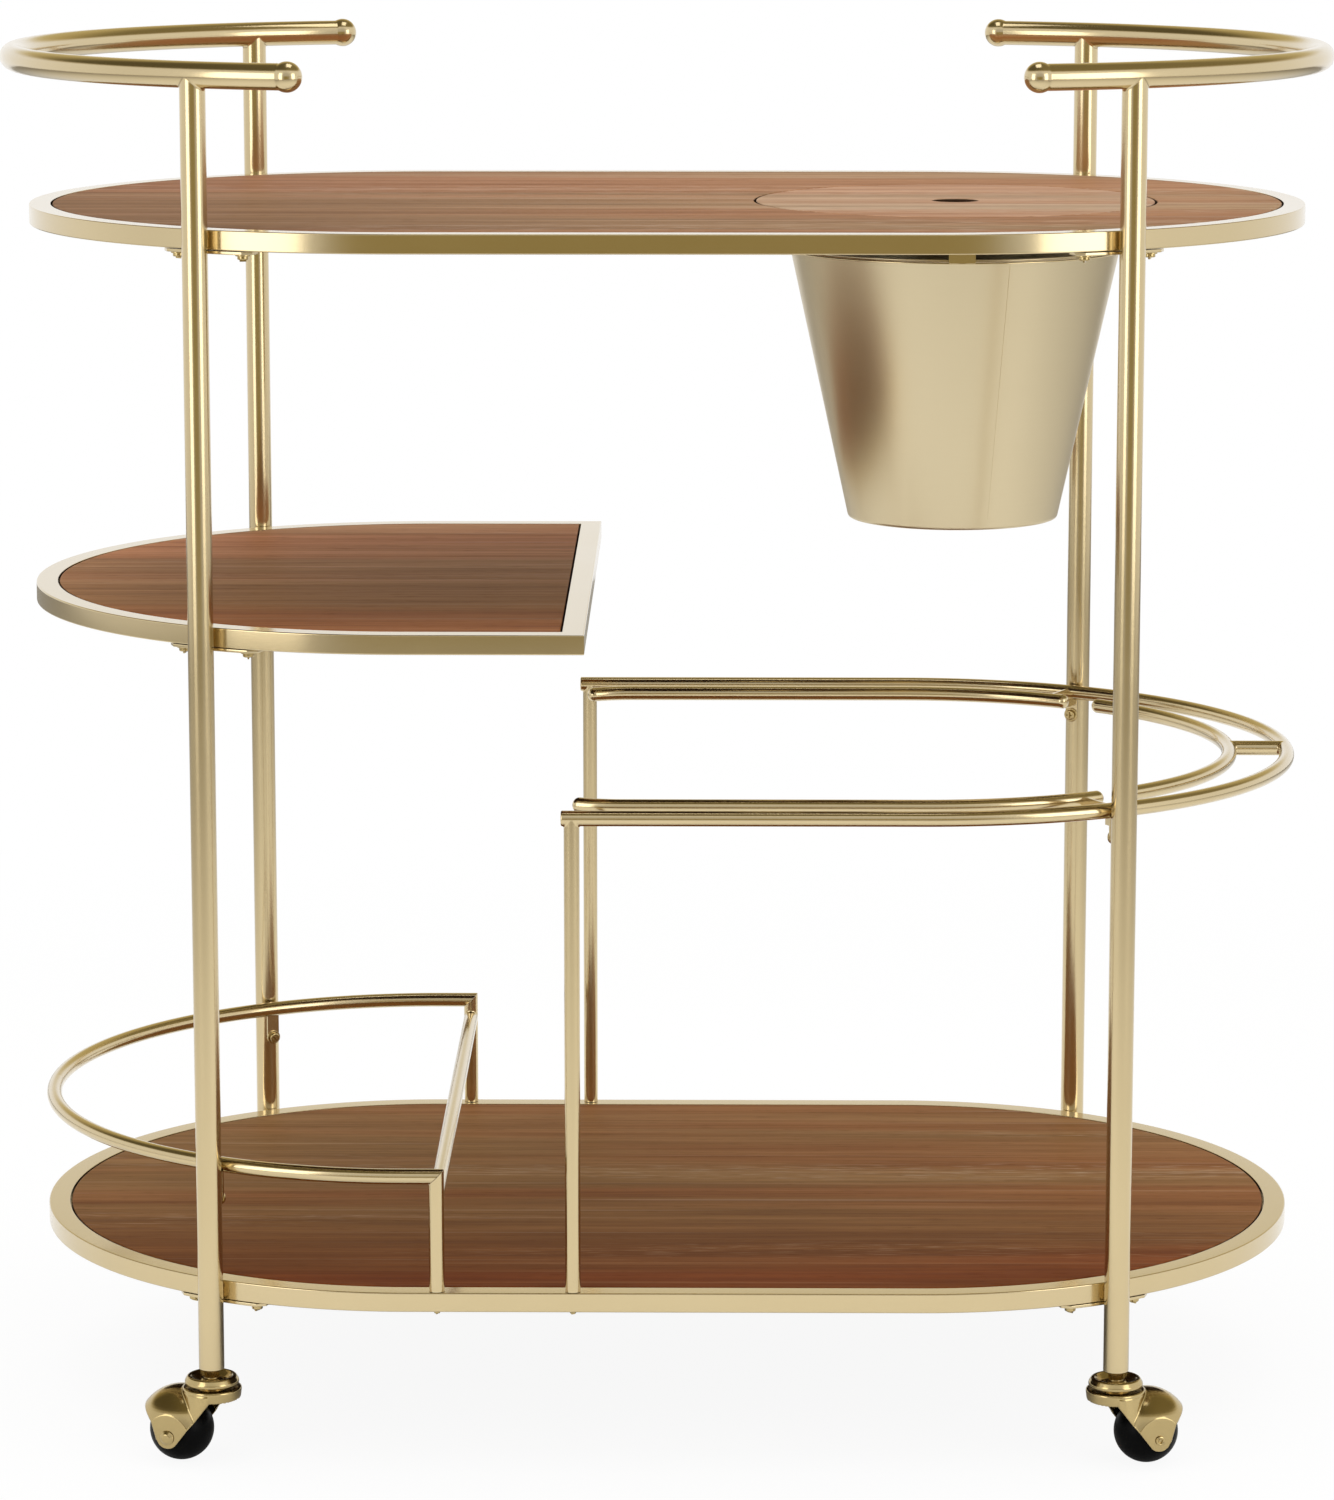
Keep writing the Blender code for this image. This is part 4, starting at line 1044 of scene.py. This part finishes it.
def rivetAxle(shape):  # domed head on one flank, a clenched hollow end on the other
    seat, head = shape["flankOuter"] + seatGap, shape["rivet"]
    profile = [(0.0, seat + 0.0022, 0), (head * 0.55, seat + 0.0021, 0.0012), (head, seat + 0.0004, 0.0009),
               (head, seat, 0), (0.0019, seat, 0), (0.0019, -seat, 0), (0.0031, -seat, 0),
               (0.0031, -seat - 0.0008, 0.0006), (0.0021, -seat - 0.0012, 0.0004),
               (0.0013, -seat - 0.0006, 0.0003), (0.0012, -seat + 0.0012, 0), (0.0, -seat + 0.0012, 0)]
    place = moved((shape["trail"], 0, shape["wheel"])) @ Matrix.Rotation(-quarter, 4, "X")
    return lathe(eased(profile, steps=5), 48, place=place)


def ballWheel(shape):  # ball with flat sides and a hub that reaches the flanks
    face, hub, boss = shape["wheelHalf"], shape["hub"], shape["flankInner"] - 0.0004
    side = math.asin(face / shape["wheel"])
    turns = [side - 2 * side * k / 40 for k in range(41)]
    tread = [(shape["wheel"] * math.cos(a), shape["wheel"] * math.sin(a)) for a in turns]
    ends = [(0.0024, boss), (hub - 0.0006, boss), (hub, boss - 0.0006), (hub, face)]
    profile = ends + tread + [(r, -z) for r, z in reversed(ends)]
    place = moved((shape["trail"], 0, shape["wheel"])) @ Matrix.Rotation(-quarter, 4, "X")
    return lathe(profile, 80, closed=True, place=place)


hoodMesh = stampedHood(casterShape)
for corner, (end, side) in corners.items():
    x, y = polar(end, postCircle, postTurn(end, side))
    turn = casterShape["trailAngle"] if end > 0 else math.pi - casterShape["trailAngle"]
    place = moved((x, y, 0)) @ Matrix.Rotation(turn, 4, "Z")
    for name, mesh, finish, body, slot, node in (
            ("casterBowl_", casterBowl(casterShape), casterBrass, "cart", "caster_brass", "caster_plate_"),
            ("stampedHood_", hoodMesh.copy(), casterBrass, "caster_", "caster_brass", "caster_hood_"),
            ("rivetAxle_", rivetAxle(casterShape), casterBrass, "caster_", "caster_brass", "caster_axle_"),
            ("ballWheel_", ballWheel(casterShape), wheelRubber, "wheel_", "rubber", "caster_wheel_")):
        mesh.transform(place)
        body = body + corner if body.endswith("_") else body
        addPiece(name + corner, mesh, finish, body, [node + corner])
bpy.data.meshes.remove(hoodMesh)
print("casters made")


# Studio: pale floor, sky, soft boxes and camera

studio = {
    "floorColour": (0.86, 0.86, 0.85),
    # floorDim is painted shade for the far floor
    "floorDim": (0.28, 0.26, 0.22),
    "floorGlow": 0.92,
    "floorHalf": 3.4,
    "boxes": (  # place, aim, width, height, watts, shows in reflections
        ((-2.05, -2.15, 1.15), (0, 0, 0.80), 1.25, 2.1, 15.0, True),
        ((2.30, -2.10, 1.15), (0, 0, 0.80), 1.40, 2.1, 17.5, True),
        ((0.08, 0.05, 2.40), (0.08, 0.05, 0.0), 0.7, 1.0, 3.5, True),
        ((0.0, -0.30, 3.20), (0.0, -0.30, 0.0), 3.0, 3.0, 36.0, False),
    ),
    "left": 0.94,
    "right": 1.00,
    "front": 0.62,
    "back": 1.00,
    "dark": 0.38,
    "roofLeft": 0.13,
    "roofRight": 0.27,
    "roofBack": 0.62,
    "warm": (1.0, 0.83, 0.40),
}


def addFloor(look):
    mesh = bpy.data.meshes.new("floor")
    half, square = look["floorHalf"], ((-1, -1), (1, -1), (1, 1), (-1, 1))
    mesh.from_pydata([(x * half, y * half, 0) for x, y in square], [], [(0, 1, 2, 3)])
    newObject("floor", mesh)
    material, book, shader, place = newFinish("paleFloor")
    reach = book.node("ShaderNodeVectorMath", {"operation": "LENGTH"}, {0: place}, "Value")
    # painted shade: the floor colour dims from floorColour near the cart to floorDim far away, and the metal
    # mirrors it
    lit = book.ease(reach, 0.2, 3.8, 1.0, 0.0)
    colour = book.mix(lit, rgb(look["floorDim"]), rgb(look["floorColour"]))
    book.fill(shader, {"Base Color": colour, "Roughness": 1.0, "Specular IOR Level": 0.0})
    matt = Value(book, shader.outputs[0])
    glow = look["floorGlow"] + (1 - look["floorGlow"]) * book.ease(reach, 0.7, 1.8)
    seen = book.node("ShaderNodeLightPath", out="Is Camera Ray") * glow
    white = book.node("ShaderNodeEmission", None, {"Strength": 1.0})
    both = book.node("ShaderNodeMixShader", None, {0: seen, 1: matt, 2: white})
    book.fill(material.node_tree.nodes["Material Output"], {"Surface": both})
    mesh.materials.append(material)


def addWorld(look):
    world = bpy.data.worlds.new("studio")
    scene.world = world
    world.use_nodes = True
    book = Book(world.node_tree)
    place = book.node("ShaderNodeTexCoord", out="Generated")  # the direction of the ray
    x = book.node("ShaderNodeSeparateXYZ", None, {0: place}, "X")
    y, z = x.other("Y"), x.other("Z")
    side = book.ease(x, -0.6, 0.6, look["left"], look["right"])
    back = book.ease(y, -0.1, 0.5)
    brow = book.ease(y, -0.95, -0.6, 1.0, 0.0)
    front = book.ease(y, -0.97, -0.88, 1.0, 0.0) * book.ease(z, 0.08, 0.22, 1.0, 0.0)
    shine = book.node("ShaderNodeLightPath", out="Is Glossy Ray")  # only reflections see the dark roof
    roof = book.ease(z + 0.33 * y, 0.50, 0.66) * shine
    ceiling = book.ease(x, -0.6, 0.6, look["roofLeft"], look["roofRight"])
    rear = book.ease(y, 0.45, 0.90)
    ceiling = ceiling * (1 - rear) + look["roofBack"] * rear
    dark = 1 - (1 - front) * (1 - roof)
    level = side * (1 - brow) + look["front"] * brow
    level = level * (1 - back) + look["back"] * back
    level = level * (1 - front) + look["dark"] * front
    level = level * (1 - roof) + ceiling * roof
    seen = book.node("ShaderNodeLightPath", out="Is Camera Ray")
    shade = book.mix(dark * (1 - seen), (1, 1, 1, 1), rgb(look["warm"]))
    book.fill(world.node_tree.nodes["Background"], {"Strength": level * (1 - seen) + seen, "Color": shade})


def addBoxes(look):
    for k, (place, aim, width, height, watts, shows) in enumerate(look["boxes"]):
        light = bpy.data.lights.new(f"softBox{k}", "AREA")
        light.shape = "RECTANGLE"
        light.size, light.size_y, light.energy = width, height, watts
        lamp = newObject(light.name, light)
        lamp.location = place
        lamp.rotation_euler = (Vector(aim) - Vector(place)).to_track_quat("-Z", "Y").to_euler()
        lamp.visible_glossy = shows


view = {"place": (0.0334, -3.5089, 1.05), "pitch": 10.40, "yaw": 0.544, "lens": 133.2}


def addCamera(look):
    data = bpy.data.cameras.new("camera")
    data.lens = look["lens"]
    data.sensor_width = 36.0
    data.clip_end = 200.0
    camera = newObject("camera", data)
    camera.location = look["place"]
    camera.rotation_euler = (math.radians(90 - look["pitch"]), 0, math.radians(look["yaw"]))
    scene.camera = camera


addFloor(studio)
addWorld(studio)
addBoxes(studio)
addCamera(view)
scene.view_settings.view_transform = "Standard"
